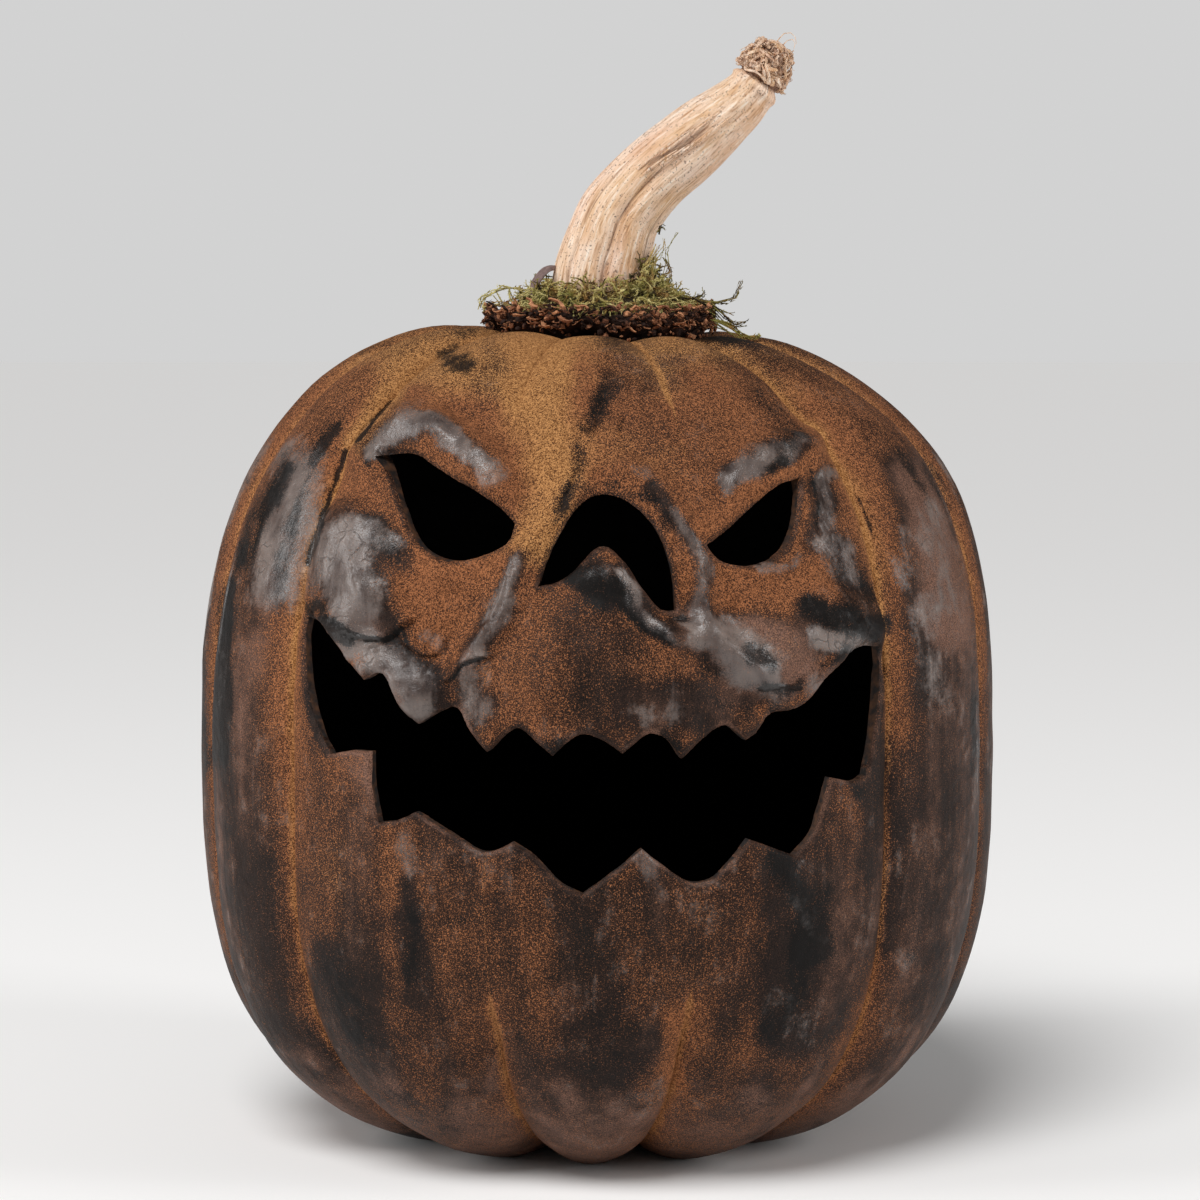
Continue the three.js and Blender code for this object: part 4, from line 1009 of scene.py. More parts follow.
def makeCutMaterial():  # cut edge of the wall: dark foam, rubbed with a little rust
    m = newMaterial("cut_foam_edge")
    place = addNode(m, "ShaderNodeTexCoord").outputs["Object"]
    blotch = addNode(m, "ShaderNodeTexNoise", {"Vector": place, "Scale": 1 / (3 * mm), "Detail": 3})
    pores = addNode(m, "ShaderNodeTexNoise", {"Vector": place, "Scale": 1 / (0.9 * mm), "Detail": 2})
    colour = tinted(m, "#1d1613", [(blotch, 0.4, 0.7, 1.0, "#54351f")])
    bump = addNode(m, "ShaderNodeBump", {"Height": pores, "Strength": 0.5, "Distance": 0.4 * mm})
    shader = addNode(m, "ShaderNodeBsdfPrincipled",
                     {"Base Color": colour, "Roughness": 0.7, "Normal": bump, "IOR": 1.45})
    addNode(m, "ShaderNodeOutputMaterial", {"Surface": shader})
    return m


def makeInsideMaterial():  # inside of the moulding, near black as painted shade, so that the hollow reads black through the openings
    m = newMaterial("inside_painted_shade_black")
    place = addNode(m, "ShaderNodeTexCoord").outputs["Object"]
    lumps = addNode(m, "ShaderNodeTexNoise", {"Vector": place, "Scale": 1 / (7 * mm), "Detail": 3})
    colour = addNode(m, "ShaderNodeMix", {0: lumps, 6: "#050404", 7: "#0c0a09"}, data_type="RGBA")
    bump = addNode(m, "ShaderNodeBump", {"Height": lumps, "Strength": 0.4, "Distance": 0.6 * mm})
    shader = addNode(m, "ShaderNodeBsdfPrincipled",
                     {"Base Color": colour, "Roughness": 0.85, "Normal": bump, "IOR": 1.45,
                      "Specular IOR Level": 0.25})
    addNode(m, "ShaderNodeOutputMaterial", {"Surface": shader})
    return m


def makeShell():
    shell = makeSkinPiece()
    print("skin shaped:", len(shell.data.polygons), "faces")
    skinTree = treeOf(shell)
    inner = makeInnerPiece()
    cutters = [inner] + [makeCutter("cut_" + name, outline) for name, outline in outlines.items()]
    for cutter in cutters:
        applyModifier(shell, "BOOLEAN", operation="DIFFERENCE", solver="MANIFOLD", object=cutter)
        removePiece(cutter)
    shell.data.validate()  # drops the sliver faces that the cuts can leave
    print("hollowed and carved:", len(shell.data.polygons), "faces")
    shell.data.materials.clear()
    for material in (makeShellMaterial(), makeCutMaterial(), makeInsideMaterial()):
        shell.data.materials.append(material)
    slots = []
    centres, normals = faceCentres(shell) / mm - toOrigin, rowsOf(shell.data.polygons, "normal")
    for centre, normal in zip(centres.tolist(), normals.tolist()):
        _, outward, _, gap = skinTree.find_nearest(centre)
        facing = outward.dot(normal)
        onSkin, onInside = gap < 0.6 and facing > 0.7, facing < -0.6
        slots.append(0 if onSkin else 2 if onInside else 1)
    shell.data.polygons.foreach_set("material_index", slots)
    paintShell(shell, placesOf(shell))
    selectOnly(shell)
    bpy.ops.object.shade_smooth_by_angle(angle=math.radians(40))
    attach(shell, "root")
    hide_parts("shell")
    print("shell painted")
    return shell


# the dried stem: a ribbed, twisted tube with a frayed knob

stem = {
    "line": [  # right and up on the card, thickness
        (0, 88, 42), (0, 108, 39), (0, 122, 35.5), (3.3, 135, 33), (8, 147, 31), (19.2, 160.4, 29),
        (30.8, 170.1, 28), (41.5, 179, 25.5), (52.6, 188, 21.5), (58.8, 195, 18.6), (62, 201, 17.6),
        (65, 206.5, 14.5), (67.6, 212, 8.5),
    ],
    "grooves": [(-46, 0.1), (2, 0.15), (64, 0.08), (138, 0.12), (-122, 0.12)],  # angle, depth over radius
    "fade": (0.42, 0.8, 0.3),  # the grooves get shallower between two heights, and what is left of them
    "drift": 24, "driftFrom": 0.55,  # the grooves turn to the right near the top
    "sharpness": 0.62, "columns": 144, "rings": 190, "knobFrom": 0.865,
    "striation": 0.34, "waver": 0.6,
    "tear": (-9, 13, 0.5, 0.58, 0.66, 0.75),  # a torn strip: angle, half its width, where it comes and goes
    "slivers": [(-20, 0.50, 0.66), (-14, 0.56, 0.74), (-4, 0.52, 0.63), (2, 0.58, 0.7), (6, 0.6, 0.76),
                (-9, 0.5, 0.6)],
    "chips": 120, "fibres": 46, "strandSteps": 5,
    "chipStart": (0.872, 0.975), "chipReach": (0.878, 0.985),  # shares of the stem's length
    "chipThick": (0.55, 1.35), "fibreThick": (0.16, 0.28),
    "hairs": [  # loose ones: points on the card, thickness
        ([(66.5, 211), (70, 215), (73.5, 214.5), (74.5, 211)], 0.2),
        ([(68, 209), (71.5, 212.5), (74, 212), (73.5, 209)], 0.2),
        ([(60, 211), (56, 210), (53, 208.5)], 0.2),
        ([(53.5, 194), (60, 196.2), (66, 199), (70.5, 200.5)], 0.7),
    ],
}


def stemAt(share):  # place, thickness and direction along the stem's line
    line = np.array(stem["line"], float)
    places = fromCard(line[:, :2], np.zeros(len(line)))
    rows, _ = curveThrough(np.column_stack([places, line[:, 2]]), np.clip(share, 0, 1))
    ahead, length = curveThrough(places, np.clip(share + 0.01, 0, 1))
    behind, _ = curveThrough(places, np.clip(share - 0.01, 0, 1))
    along = ahead - behind
    along /= np.linalg.norm(along, axis=1)[:, None]
    return rows[:, :3], rows[:, 3], along, length


def stemSkin(angle, share, lift=0.0):  # angle in degrees, 0 in front and + to the right
    centre, thick, along, length = stemAt(share)
    right = np.stack([along[:, 2], np.zeros(len(along)), -along[:, 0]], -1)
    right /= np.linalg.norm(right, axis=1)[:, None]
    front = np.cross(right, along)
    front *= -np.sign(front[:, 1:2])
    turn = stem["drift"] * smoothStep(share, stem["driftFrom"], stem["knobFrom"])
    groove = sorted(stem["grooves"])
    starts = np.array([g[0] for g in groove] + [groove[0][0] + 360], float)
    depths = np.array([g[1] for g in groove] + [groove[0][1]])
    local = (angle - turn - starts[0]) % 360 + starts[0]
    rib = np.clip(np.searchsorted(starts, local, side="right") - 1, 0, len(groove) - 1)
    across = (local - starts[rib]) / (starts[rib + 1] - starts[rib])
    depth = depths[rib] * (1 - across) + depths[rib + 1] * across
    faded = 1 - (1 - stem["fade"][2]) * smoothStep(share, stem["fade"][0], stem["fade"][1])
    swell = 1 - (1 - np.abs(np.sin(math.pi * across)) ** stem["sharpness"]) * faded
    onStalk = 1 - smoothStep(share, stem["knobFrom"] - 0.02, stem["knobFrom"] + 0.01)
    radius = thick / 2 * (1 - depth * (1 - swell) * onStalk)
    # rounded ends
    fromEnd = np.minimum(share * length / 3, (1 - share) * length / (0.4 * thick))
    radius = radius * np.sqrt(np.clip(1 - (1 - np.clip(fromEnd, 0, 1)) ** 2, 0, 1))
    radians = np.radians(angle)
    straight = np.stack([radius * np.sin(radians), -radius * np.cos(radians), share * length], -1)
    radius = radius + lift
    aside, ahead = (radius * np.sin(radians))[:, None], (radius * np.cos(radians))[:, None]
    return centre + right * aside + front * ahead, straight, swell, onStalk


def straightStrand(name, sides, steps, radius):  # on +Z from 0 to 1, thinner at its end
    bpy.ops.object.select_all(action="DESELECT")
    bpy.ops.mesh.primitive_cylinder_add(vertices=sides, radius=radius, depth=1, end_fill_type="TRIFAN")
    strand = bpy.context.object
    strand.name = name
    subdivideUprights(strand, steps - 1)
    places = rawPlaces(strand)
    places[:, 2] += 0.5
    places[:, :2] *= 1 - 0.55 * places[:, 2:] ** 2
    strand.data.vertices.foreach_set("co", places.ravel())
    return strand


def anyWay(size):  # a random step of up to a size along each axis
    return np.array([random.uniform(-size, size) for _ in range(3)])


# dried, weathered pumpkin stem: pale and matte, with fine fibres, specks and dark pits
def makeStemMaterial():
    m = newMaterial("dried_pumpkin_stem")
    straight = addNode(m, "ShaderNodeAttribute", attribute_name="straight").outputs["Vector"]
    groove = addNode(m, "ShaderNodeAttribute", attribute_name="groove").outputs["Fac"]
    stain = addNode(m, "ShaderNodeAttribute", attribute_name="stain").outputs["Fac"]
    drawn = addNode(m, "ShaderNodeMapping", {"Vector": straight, "Scale": (1, 1, 0.07)})
    long = addNode(m, "ShaderNodeMapping", {"Vector": straight, "Scale": (1, 1, 0.35)})
    fibre = addNode(m, "ShaderNodeTexNoise",
                    {"Vector": drawn, "Scale": 1 / (0.9 * mm), "Detail": 3, "Roughness": 0.65})
    band = addNode(m, "ShaderNodeTexNoise", {"Vector": drawn, "Scale": 1 / (4 * mm), "Detail": 2})
    blotch = addNode(m, "ShaderNodeTexNoise",
                     {"Vector": long, "Scale": 1 / (9 * mm), "Detail": 4, "Roughness": 0.6})
    blush = addNode(m, "ShaderNodeTexNoise", {"Vector": long, "Scale": 1 / (15 * mm), "Detail": 2})
    speck = addNode(m, "ShaderNodeTexNoise", {"Vector": straight, "Scale": 1 / (0.75 * mm), "Detail": 1})
    pit = addNode(m, "ShaderNodeTexNoise",
                  {"Vector": long, "Scale": 1 / (1.5 * mm), "Detail": 2, "Roughness": 0.7})
    dark = addNode(m, "ShaderNodeMath", {0: fibre, 1: -0.9, 2: groove}, operation="MULTIPLY_ADD")
    dirty = addNode(m, "ShaderNodeMath", {0: blotch, 1: stain}, operation="MULTIPLY")
    dots = addNode(m, "ShaderNodeMath", {0: blotch, 1: -0.25, 2: speck}, operation="MULTIPLY_ADD")
    colour = tinted(m, "#dcb389", [
        (blotch, 0.35, 0.65, 1.0, "#f2d9c4"), (blush, 0.48, 0.66, 0.55, "#e0b49a"),
        (band, 0.52, 0.75, 0.6, "#c28a56"), (fibre, 0.54, 0.7, 0.7, "#fcf1e2"),
        (fibre, 0.48, 0.3, 0.8, "#a8774e"), (dark, 0.0, 0.5, 0.9, "#6d452d"),
        (dirty, 0.2, 0.6, 0.9, "#9a6f3c"), (dots, 0.25, 0.17, 0.75, "#665044"),
        (pit, 0.3, 0.24, 0.85, "#3b2a21"),
    ])
    height = addNode(m, "ShaderNodeMath", {0: fibre, 1: 0.6, 2: pit}, operation="MULTIPLY_ADD")
    height = addNode(m, "ShaderNodeMath", {0: band, 1: 0.8, 2: height}, operation="MULTIPLY_ADD")
    bump = addNode(m, "ShaderNodeBump", {"Height": height, "Strength": 0.8, "Distance": 0.8 * mm})
    shader = addNode(m, "ShaderNodeBsdfPrincipled",
                     {"Base Color": colour, "Roughness": 0.78, "Normal": bump, "IOR": 1.45})
    addNode(m, "ShaderNodeOutputMaterial", {"Surface": shader})
    return m


def makeStem():
    stalk = closedBall("dried_stem", stem["columns"], stem["rings"])
    angle, share = ballPlaces(rawPlaces(stalk))
    _, straight, swell, onStalk = stemSkin(angle, share)
    fine = noiseAt(straight * (1, 1, 0.06), 1.7, 2) * stem["striation"]
    fine += noiseAt(straight * (1, 1, 0.1), 6, 4) * stem["waver"]
    rough = smoothStep(share, stem["knobFrom"], stem["knobFrom"] + 0.02) * (1 - smoothStep(share, 0.97, 1.0))
    fine += rough * (1.8 * noiseAt(straight, 5, 6) + 1.1 * noiseAt(straight, 2.2, 7) - 0.6)
    collar = np.exp(-((share - stem["knobFrom"] + 0.012) / 0.009) ** 2)
    slit = np.exp(-((share - stem["knobFrom"] - 0.008) / 0.007) ** 2)
    fine += 0.9 * collar - 1.6 * slit
    at, half, comes, full, thins, gone = stem["tear"]
    tear = smoothStep(-np.abs(angle - at), -half, -half * 0.5) * smoothStep(share, comes, full)
    tear *= 1 - smoothStep(share, thins, gone)
    fine += tear * (-0.6 + 1.0 * noiseAt(straight * (1, 1, 0.1), 1.3, 9))
    ends = np.minimum(share, 1 - share) * 40
    places, _, _, _ = stemSkin(angle, share, fine * np.clip(ends, 0, 1))
    moveTo(stalk, places)
    addVectors(stalk, "straight", straight * mm)
    inGroove = (1 - swell) ** 1.4 * onStalk * 0.85
    inTear = (0.62 + 0.3 * noiseAt(straight * (1, 1, 0.08), 1.5, 10)) * tear
    addNumbers(stalk, "groove", np.maximum(inGroove, inTear) + 0.8 * rough + 0.8 * slit)
    low = 1 - smoothStep(share, 0.1, 0.26)
    addNumbers(stalk, "stain", low * smoothStep(angle, 10, 60) * 1.3 + 0.4 * low)
    # torn chips and wiry fibres round the knob, slivers on the torn strip
    steps = stem["strandSteps"]
    chip = straightStrand("chip", 5, steps, 1)
    pieces = [stalk]
    for i in range(stem["chips"] + stem["fibres"]):
        isChip = i < stem["chips"]
        turn = random.uniform(0, 360)
        start = random.uniform(*stem["chipStart"])
        swing = random.uniform(-60, 60) * (1 if isChip else 1.9)
        climb = random.uniform(-0.02, 0.06) * (1 if isChip else 1.3)
        lift = np.linspace(random.uniform(-0.4, 0.6), random.uniform(0.2, 2.0 if isChip else 2.6), steps)
        lift += np.array([0, 0.5, 0.8, 0.5, 0])
        shares = np.clip(start + climb * np.linspace(0, 1, steps), *stem["chipReach"])
        path, _, _, _ = stemSkin(turn + swing * np.linspace(0, 1, steps), shares, lift)
        path = path + np.array([anyWay(0.6) for _ in range(steps)])
        thick = random.uniform(*stem["chipThick" if isChip else "fibreThick"])
        piece = layAlong(copyOf(chip), path, thick, random.uniform(0.3, 0.8))
        addVectors(piece, "straight", placesOf(piece) * mm + i * 0.01)
        addNumbers(piece, "groove", random.choice((0.0, 0.1, 0.3, 0.5)))
        addNumbers(piece, "stain", random.uniform(0, 0.5))
        pieces.append(piece)
    for turn, start, end in stem["slivers"]:
        shares = np.linspace(start, end, steps)
        lift = np.array([-0.3, 0.5, 0.9, 0.6, -0.3])
        path, _, _, _ = stemSkin(turn + np.linspace(-2, 3, steps), shares, lift)
        piece = layAlong(copyOf(chip), path, 0.6, 0.8)
        addVectors(piece, "straight", placesOf(piece) * mm * (1, 1, 0.3))
        addNumbers(piece, "groove", 0.1)
        addNumbers(piece, "stain", 0.0)
        pieces.append(piece)
    for uv, thick in stem["hairs"]:
        piece = layAlong(copyOf(chip), fromCard(uv, np.linspace(-2, -5, len(uv))), thick)
        addVectors(piece, "straight", placesOf(piece) * mm)
        addNumbers(piece, "groove", 0.2)
        addNumbers(piece, "stain", 0.0)
        pieces.append(piece)
    removePiece(chip)
    stalk = joinAll("dried_stem", pieces)
    dress(stalk, makeStemMaterial(), 60)
    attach(stalk, "root")
    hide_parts("stem")
    print("stem made:", len(stalk.data.polygons), "faces")
    return stalk


# the mat of dark plant fibre that the moss is glued to

fibreMat = {
    "radius": 43.0, "uneven": [(22.0, 3.0), (6.0, 2.4), (2.6, 1.3)], "top": 313.2,
    "lumps": [(12.0, 2.2), (3.6, 1.2)], "columns": 200, "rings": 48,
    "crumbs": 700, "crumbSizes": (0.45, 0.6, 0.8, 1.2), "clear": 0.4,
    "fibres": 620, "fibreThick": (0.16, 0.38), "shredThick": (0.5, 1.2), "shreds": 0.6,
    "recess": (-10.0, 8.0, 0.2),  # a hollow under the front edge, its darker tint painted shade: azimuth, half its width, how deep
}


def groundUnder(tree, points, above=420.0):  # height of a surface straight below
    heights = []
    for x, y, _ in points:
        place, _, _, _ = tree.ray_cast((x, y, above), (0, 0, -1))
        heights.append(place[2] if place else 0.0)
    return np.array(heights)


def makeMatMaterial():  # loose brown-black coir-like fibre and crumbled peat, matte
    m = newMaterial("dark_plant_fibre")
    place = addNode(m, "ShaderNodeTexCoord").outputs["Object"]
    tint = addNode(m, "ShaderNodeAttribute", attribute_name="tint").outputs["Fac"]
    crumb = addNode(m, "ShaderNodeTexNoise",
                    {"Vector": place, "Scale": 1 / (1.6 * mm), "Detail": 3, "Roughness": 0.7})
    mixed = addNode(m, "ShaderNodeMath", {0: crumb, 1: 1.1, 2: tint}, operation="MULTIPLY_ADD")
    colour = tinted(m, "#2b1912", [(mixed, 0.5, 0.85, 1.0, "#84533a"), (mixed, 0.85, 1.3, 1.0, "#cc9068")])
    bump = addNode(m, "ShaderNodeBump", {"Height": crumb, "Strength": 1.0, "Distance": 1.2 * mm})
    shader = addNode(m, "ShaderNodeBsdfPrincipled",
                     {"Base Color": colour, "Roughness": 0.9, "Normal": bump, "Specular IOR Level": 0.3})
    addNode(m, "ShaderNodeOutputMaterial", {"Surface": shader})
    return m


def matRadius(angle):
    ring = np.stack([np.sin(angle), -np.cos(angle), 0 * angle], -1) * fibreMat["radius"]
    return fibreMat["radius"] + sum(high * noiseAt(ring, size, 12) for size, high in fibreMat["uneven"])


def makeFibreMat(shellTree):
    pad = closedBall("fibre_mat_pad", fibreMat["columns"], fibreMat["rings"])
    azimuth, share = ballPlaces(rawPlaces(pad))
    angle = np.radians(azimuth)
    lat = (share - 0.5) * math.pi
    radius = matRadius(angle) * np.abs(np.cos(lat)) ** 0.5
    flat = np.stack([radius * np.sin(angle), -radius * np.cos(angle), 0 * angle], -1)
    bottom = groundUnder(shellTree, flat) + fibreMat["clear"]
    rough = sum(high * noiseAt(flat, size, 15) for size, high in fibreMat["lumps"])
    top = np.maximum(fibreMat["top"] - 1.6 + rough, bottom + 1.5)
    at, half, depth = fibreMat["recess"]
    recess = np.exp(-((azimuth - at) / half) ** 2)
    level = np.clip((np.sin(lat) / 0.9 + 1) / 2, 0, 1)
    side = np.abs(np.cos(lat)) ** 0.5
    places = flat.copy()
    places[:, :2] *= (1 - (0.05 + depth * recess) * side * (1 - level))[:, None]
    places[:, 2] = bottom + (top - bottom) * level ** 0.8
    rough = np.stack([noiseAt(places, 4, seed) for seed in (21, 22, 23)], -1)
    places += rough * side[:, None] * 1.1
    places[:, 2] = np.maximum(places[:, 2], bottom)
    moveTo(pad, places)
    # darker in the hollow under the front edge: painted shade
    addNumbers(pad, "tint", -0.2 + 0.25 * noiseAt(places, 7, 30) - 0.4 * recess)
    pieces = [pad]
    bpy.ops.object.select_all(action="DESELECT")
    bpy.ops.mesh.primitive_ico_sphere_add(subdivisions=1, radius=1)
    crumb = bpy.context.object
    model = rawPlaces(crumb)
    for i in range(fibreMat["crumbs"]):
        turn = random.uniform(-180, 180)
        inHollow = abs(turn - at) < half * 0.9
        reach = float(matRadius(np.array([math.radians(turn)]))[0])
        if inHollow:
            reach *= random.uniform(0.8, 0.94)
        else:
            reach *= random.choice((random.uniform(0.82, 1.0), random.uniform(0.94, 1.03)))
        x, y = reach * math.sin(math.radians(turn)), -reach * math.cos(math.radians(turn))
        low = float(groundUnder(shellTree, [(x, y, 0)])[0]) + 0.6
        level = random.random()
        high = max(low + 0.5, fibreMat["top"] + 0.2)
        size = random.choice(fibreMat["crumbSizes"]) * random.uniform(0.8, 1.25)
        shape = np.array([random.uniform(0.6, 1.3) for _ in range(3)]) * size
        piece = copyOf(crumb)
        middle = np.array([x, y, low + (high - low) * level])
        moveTo(piece, middle + model * shape * (1 + 0.3 * noiseAt(model, 0.8, i)[:, None]))
        pale = 0.3 if level > 0.75 or (level < 0.25 and turn > 10) else 0.0
        # crumbs in the hollow are darker: painted shade
        addNumbers(piece, "tint", random.choice((-0.35, -0.15, 0.05, 0.3, 0.45)) + pale - 0.4 * inHollow)
        pieces.append(piece)
    removePiece(crumb)
    strand = straightStrand("mat_fibre", 4, 5, 1)
    for i in range(fibreMat["fibres"]):
        begin = random.uniform(-math.pi, math.pi)
        turn = random.uniform(-0.14, 0.14)
        rise = random.uniform(-2.5, 2.5)
        foot = random.uniform(-8.0, 0.3)
        path = []
        for t in np.linspace(0, 1, 4):
            reach = float(matRadius(np.array([begin + turn * t]))[0]) * random.uniform(0.93, 1.03) + 0.8
            x, y = reach * math.sin(begin + turn * t), -reach * math.cos(begin + turn * t)
            low = float(groundUnder(shellTree, [(x, y, 0)])[0]) + 0.5
            path.append((x, y, max(low, fibreMat["top"] + foot + rise * t + random.uniform(-0.8, 0.8))))
        shred = random.random() < fibreMat["shreds"]
        thick = random.uniform(*fibreMat["shredThick" if shred else "fibreThick"])
        piece = layAlong(copyOf(strand), path, thick, random.uniform(0.35, 0.8))
        high = 0.25 if foot > -2.0 or foot < -6.5 else 0.0
        addNumbers(piece, "tint", random.choice((-0.35, -0.15, 0.1, 0.4, 0.6)) + high)
        pieces.append(piece)
    removePiece(strand)
    pad = joinAll("fibre_mat_pad", pieces)
    dress(pad, makeMatMaterial(), 50)
    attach(pad, "root")
    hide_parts("fibre_mat")
    print("fibre mat made:", len(pad.data.polygons), "faces")
    return pad


# dry olive moss heaped round the stem's foot

moss = {
    "inner": 15.0, "outer": 38.0, "innerTop": 324.0, "outerTop": 314.0, "bottom": 310.5,
    # higher at the stem's right: azimuth, half width, height, radius, width
    "climb": (75.0, 30.0, 11.0, 18.0, 4.5),
    "columns": 120, "rings": 30, "lumps": [(9.0, 2.0), (4.0, 1.4)],
    "sprigs": 1400, "leaflets": 17, "sprigLength": (4.5, 9.5), "from": 18.0, "curl": 0.95,
    # sprigs past this radius lean down this much, and reach this far below the rest
    "hang": (28.5, 0.75, 4.5),
    "long": [  # (points on the card, depth at both ends, thickness, tint, strands)
        ([(22.8, 119.5), (25.8, 127), (25.4, 132), (27.3, 136), (29.2, 139.2)], (-8, -6), 0.75, 0.5, 2),
        ([(17.4, 121.7), (20.5, 127.8), (22.8, 130.8), (24.3, 133.9),
          (25, 136.5)], (-10, -8), 0.8, 0.55, 3),
        ([(15, 119), (16.5, 124), (19, 129), (21.5, 134.5)], (-14, -12), 1.1, 0.62, 4),
        ([(17.5, 116), (19.5, 121), (20, 126), (21.5, 131)], (-12, -11), 1.1, 0.6, 4),
        ([(20.5, 112), (22.3, 117), (23.5, 121), (26, 123.5)], (-9, -8), 1.0, 0.5, 3),
        ([(24, 129.5), (26.2, 126), (27, 122), (25.5, 119)], (-8, -6), 0.9, 0.25, 3),
        ([(21.8, 139), (23.4, 141.5), (25.2, 140.6)], (-8, -8), 1.1, 0.05, 3),
        ([(26, 113), (30.3, 114.9), (36.4, 114.1), (42.5, 112.6), (47.8, 113), (51.6, 116),
          (53.5, 120.6)], (-14, -8), 1.15, 0.14, 4),
        ([(36, 114.1), (41, 112), (44, 110.4), (47.8, 107.3), (51.6, 104.3),
          (55.4, 105)], (-14, -10), 1.1, 0.12, 4),
        ([(42.5, 106.6), (49.3, 104.3), (53.8, 100.5), (58.4, 99.7),
          (61.4, 100.9)], (-12, -6), 1.2, 0.3, 4),
        ([(44, 104.3), (50.8, 101.2), (54.6, 99)], (-14, -13), 1.1, 0.14, 3),
        ([(44, 110), (48, 109.5), (51.5, 108.5)], (-12, -12), 0.9, 0.15, 2),
        ([(38, 113), (44, 109), (46, 106), (50, 103)], (-10, -8), 1.0, 0.1, 3),
        ([(30, 113), (35, 112), (40, 110), (44, 107.5)], (-16, -13), 0.9, 0.3, 4),
        ([(-45.5, 111), (-44.5, 114.5), (-40, 116.5), (-39, 118.3), (-32.2, 118.6),
          (-27, 116.5)], (-10, -6), 1.1, 0.7, 5),
        ([(-40, 116), (-37.5, 113.5), (-36.5, 110.5)], (-9, -9), 1.0, 0.65, 3),
        ([(-34, 117.5), (-33.5, 113.5), (-31, 110.5)], (-9, -10), 1.1, 0.6, 4),
        ([(-44.7, 110), (-41.7, 112), (-38, 112), (-33, 111)], (-16, -14), 1.1, 0.55, 4),
        ([(-30, 111), (-29.5, 114.5), (-26, 117), (-22, 116)], (-14, -12), 0.9, 0.6, 4),
    ],
}


def straightSprig(name, leaflets, seed):  # a stem with scale-like leaflets, on +Z from 0 to 1
    rng = random.Random(seed)
    pieces = [straightStrand(name, 4, 5, 0.24)]
    for i in range(leaflets):
        turn = i * 2.4 + rng.uniform(-0.5, 0.5)
        tilt = rng.uniform(0.5, 1.3)
        length = rng.uniform(0.7, 1.35) * (1.1 - 0.4 * i / leaflets)
        bpy.ops.object.select_all(action="DESELECT")
        bpy.ops.mesh.primitive_cone_add(vertices=3, radius1=0.25, radius2=0, depth=length,
                                        end_fill_type="NOTHING")
        leaflet = bpy.context.object
        model = rawPlaces(leaflet)
        model[:, 2] += length / 2
        model[:, 1] *= 0.6
        y = model[:, 1] * math.cos(tilt) + model[:, 2] * math.sin(tilt)
        z = (-model[:, 1] * math.sin(tilt) + model[:, 2] * math.cos(tilt)) / 9
        x = model[:, 0]
        model = np.stack([x * math.cos(turn) - y * math.sin(turn), x * math.sin(turn) + y * math.cos(turn),
                          z + (i + 0.5) / leaflets], -1)
        leaflet.data.vertices.foreach_set("co", model.ravel())
        pieces.append(leaflet)
    return joinAll(name, pieces)


def makeMossMaterial():  # dried sheet moss: olive to brown with straw tips and dark, dead strands, matte
    m = newMaterial("dried_olive_moss")
    place = addNode(m, "ShaderNodeTexCoord").outputs["Object"]
    tint = addNode(m, "ShaderNodeAttribute", attribute_name="tint").outputs["Fac"]
    tuft = addNode(m, "ShaderNodeTexNoise", {"Vector": place, "Scale": 1 / (2.5 * mm), "Detail": 3})
    patch = addNode(m, "ShaderNodeTexNoise", {"Vector": place, "Scale": 1 / (7 * mm), "Detail": 2})
    mixed = addNode(m, "ShaderNodeMath", {0: tuft, 1: 0.5, 2: tint}, operation="MULTIPLY_ADD")
    colour = tinted(m, "#98904a", [
        (patch, 0.45, 0.62, 1.0, "#a37a42"), (mixed, 0.62, 0.25, 1.0, "#33281a"),
        (mixed, 0.65, 1.1, 1.0, "#ddd090"),
    ])
    shader = addNode(m, "ShaderNodeBsdfPrincipled",
                     {"Base Color": colour, "Roughness": 0.85, "Specular IOR Level": 0.3})
    addNode(m, "ShaderNodeOutputMaterial", {"Surface": shader})
    return m


def mossOuter(azimuth):  # the heap reaches further out on the right
    return moss["outer"] - 3.0 + 3.5 * np.sin(np.radians(azimuth))


def mossTop(radius, azimuth):  # height of the heap
    share = np.clip((radius - moss["inner"]) / (mossOuter(azimuth) - moss["inner"]), 0, 1)
    at, half, high, ring, width = moss["climb"]
    climb = high * np.exp(-((azimuth - at) / half) ** 2) * np.exp(-((radius - ring) / width) ** 2)
    return moss["outerTop"] + (moss["innerTop"] - moss["outerTop"]) * (1 - share) ** 1.2 + climb, climb


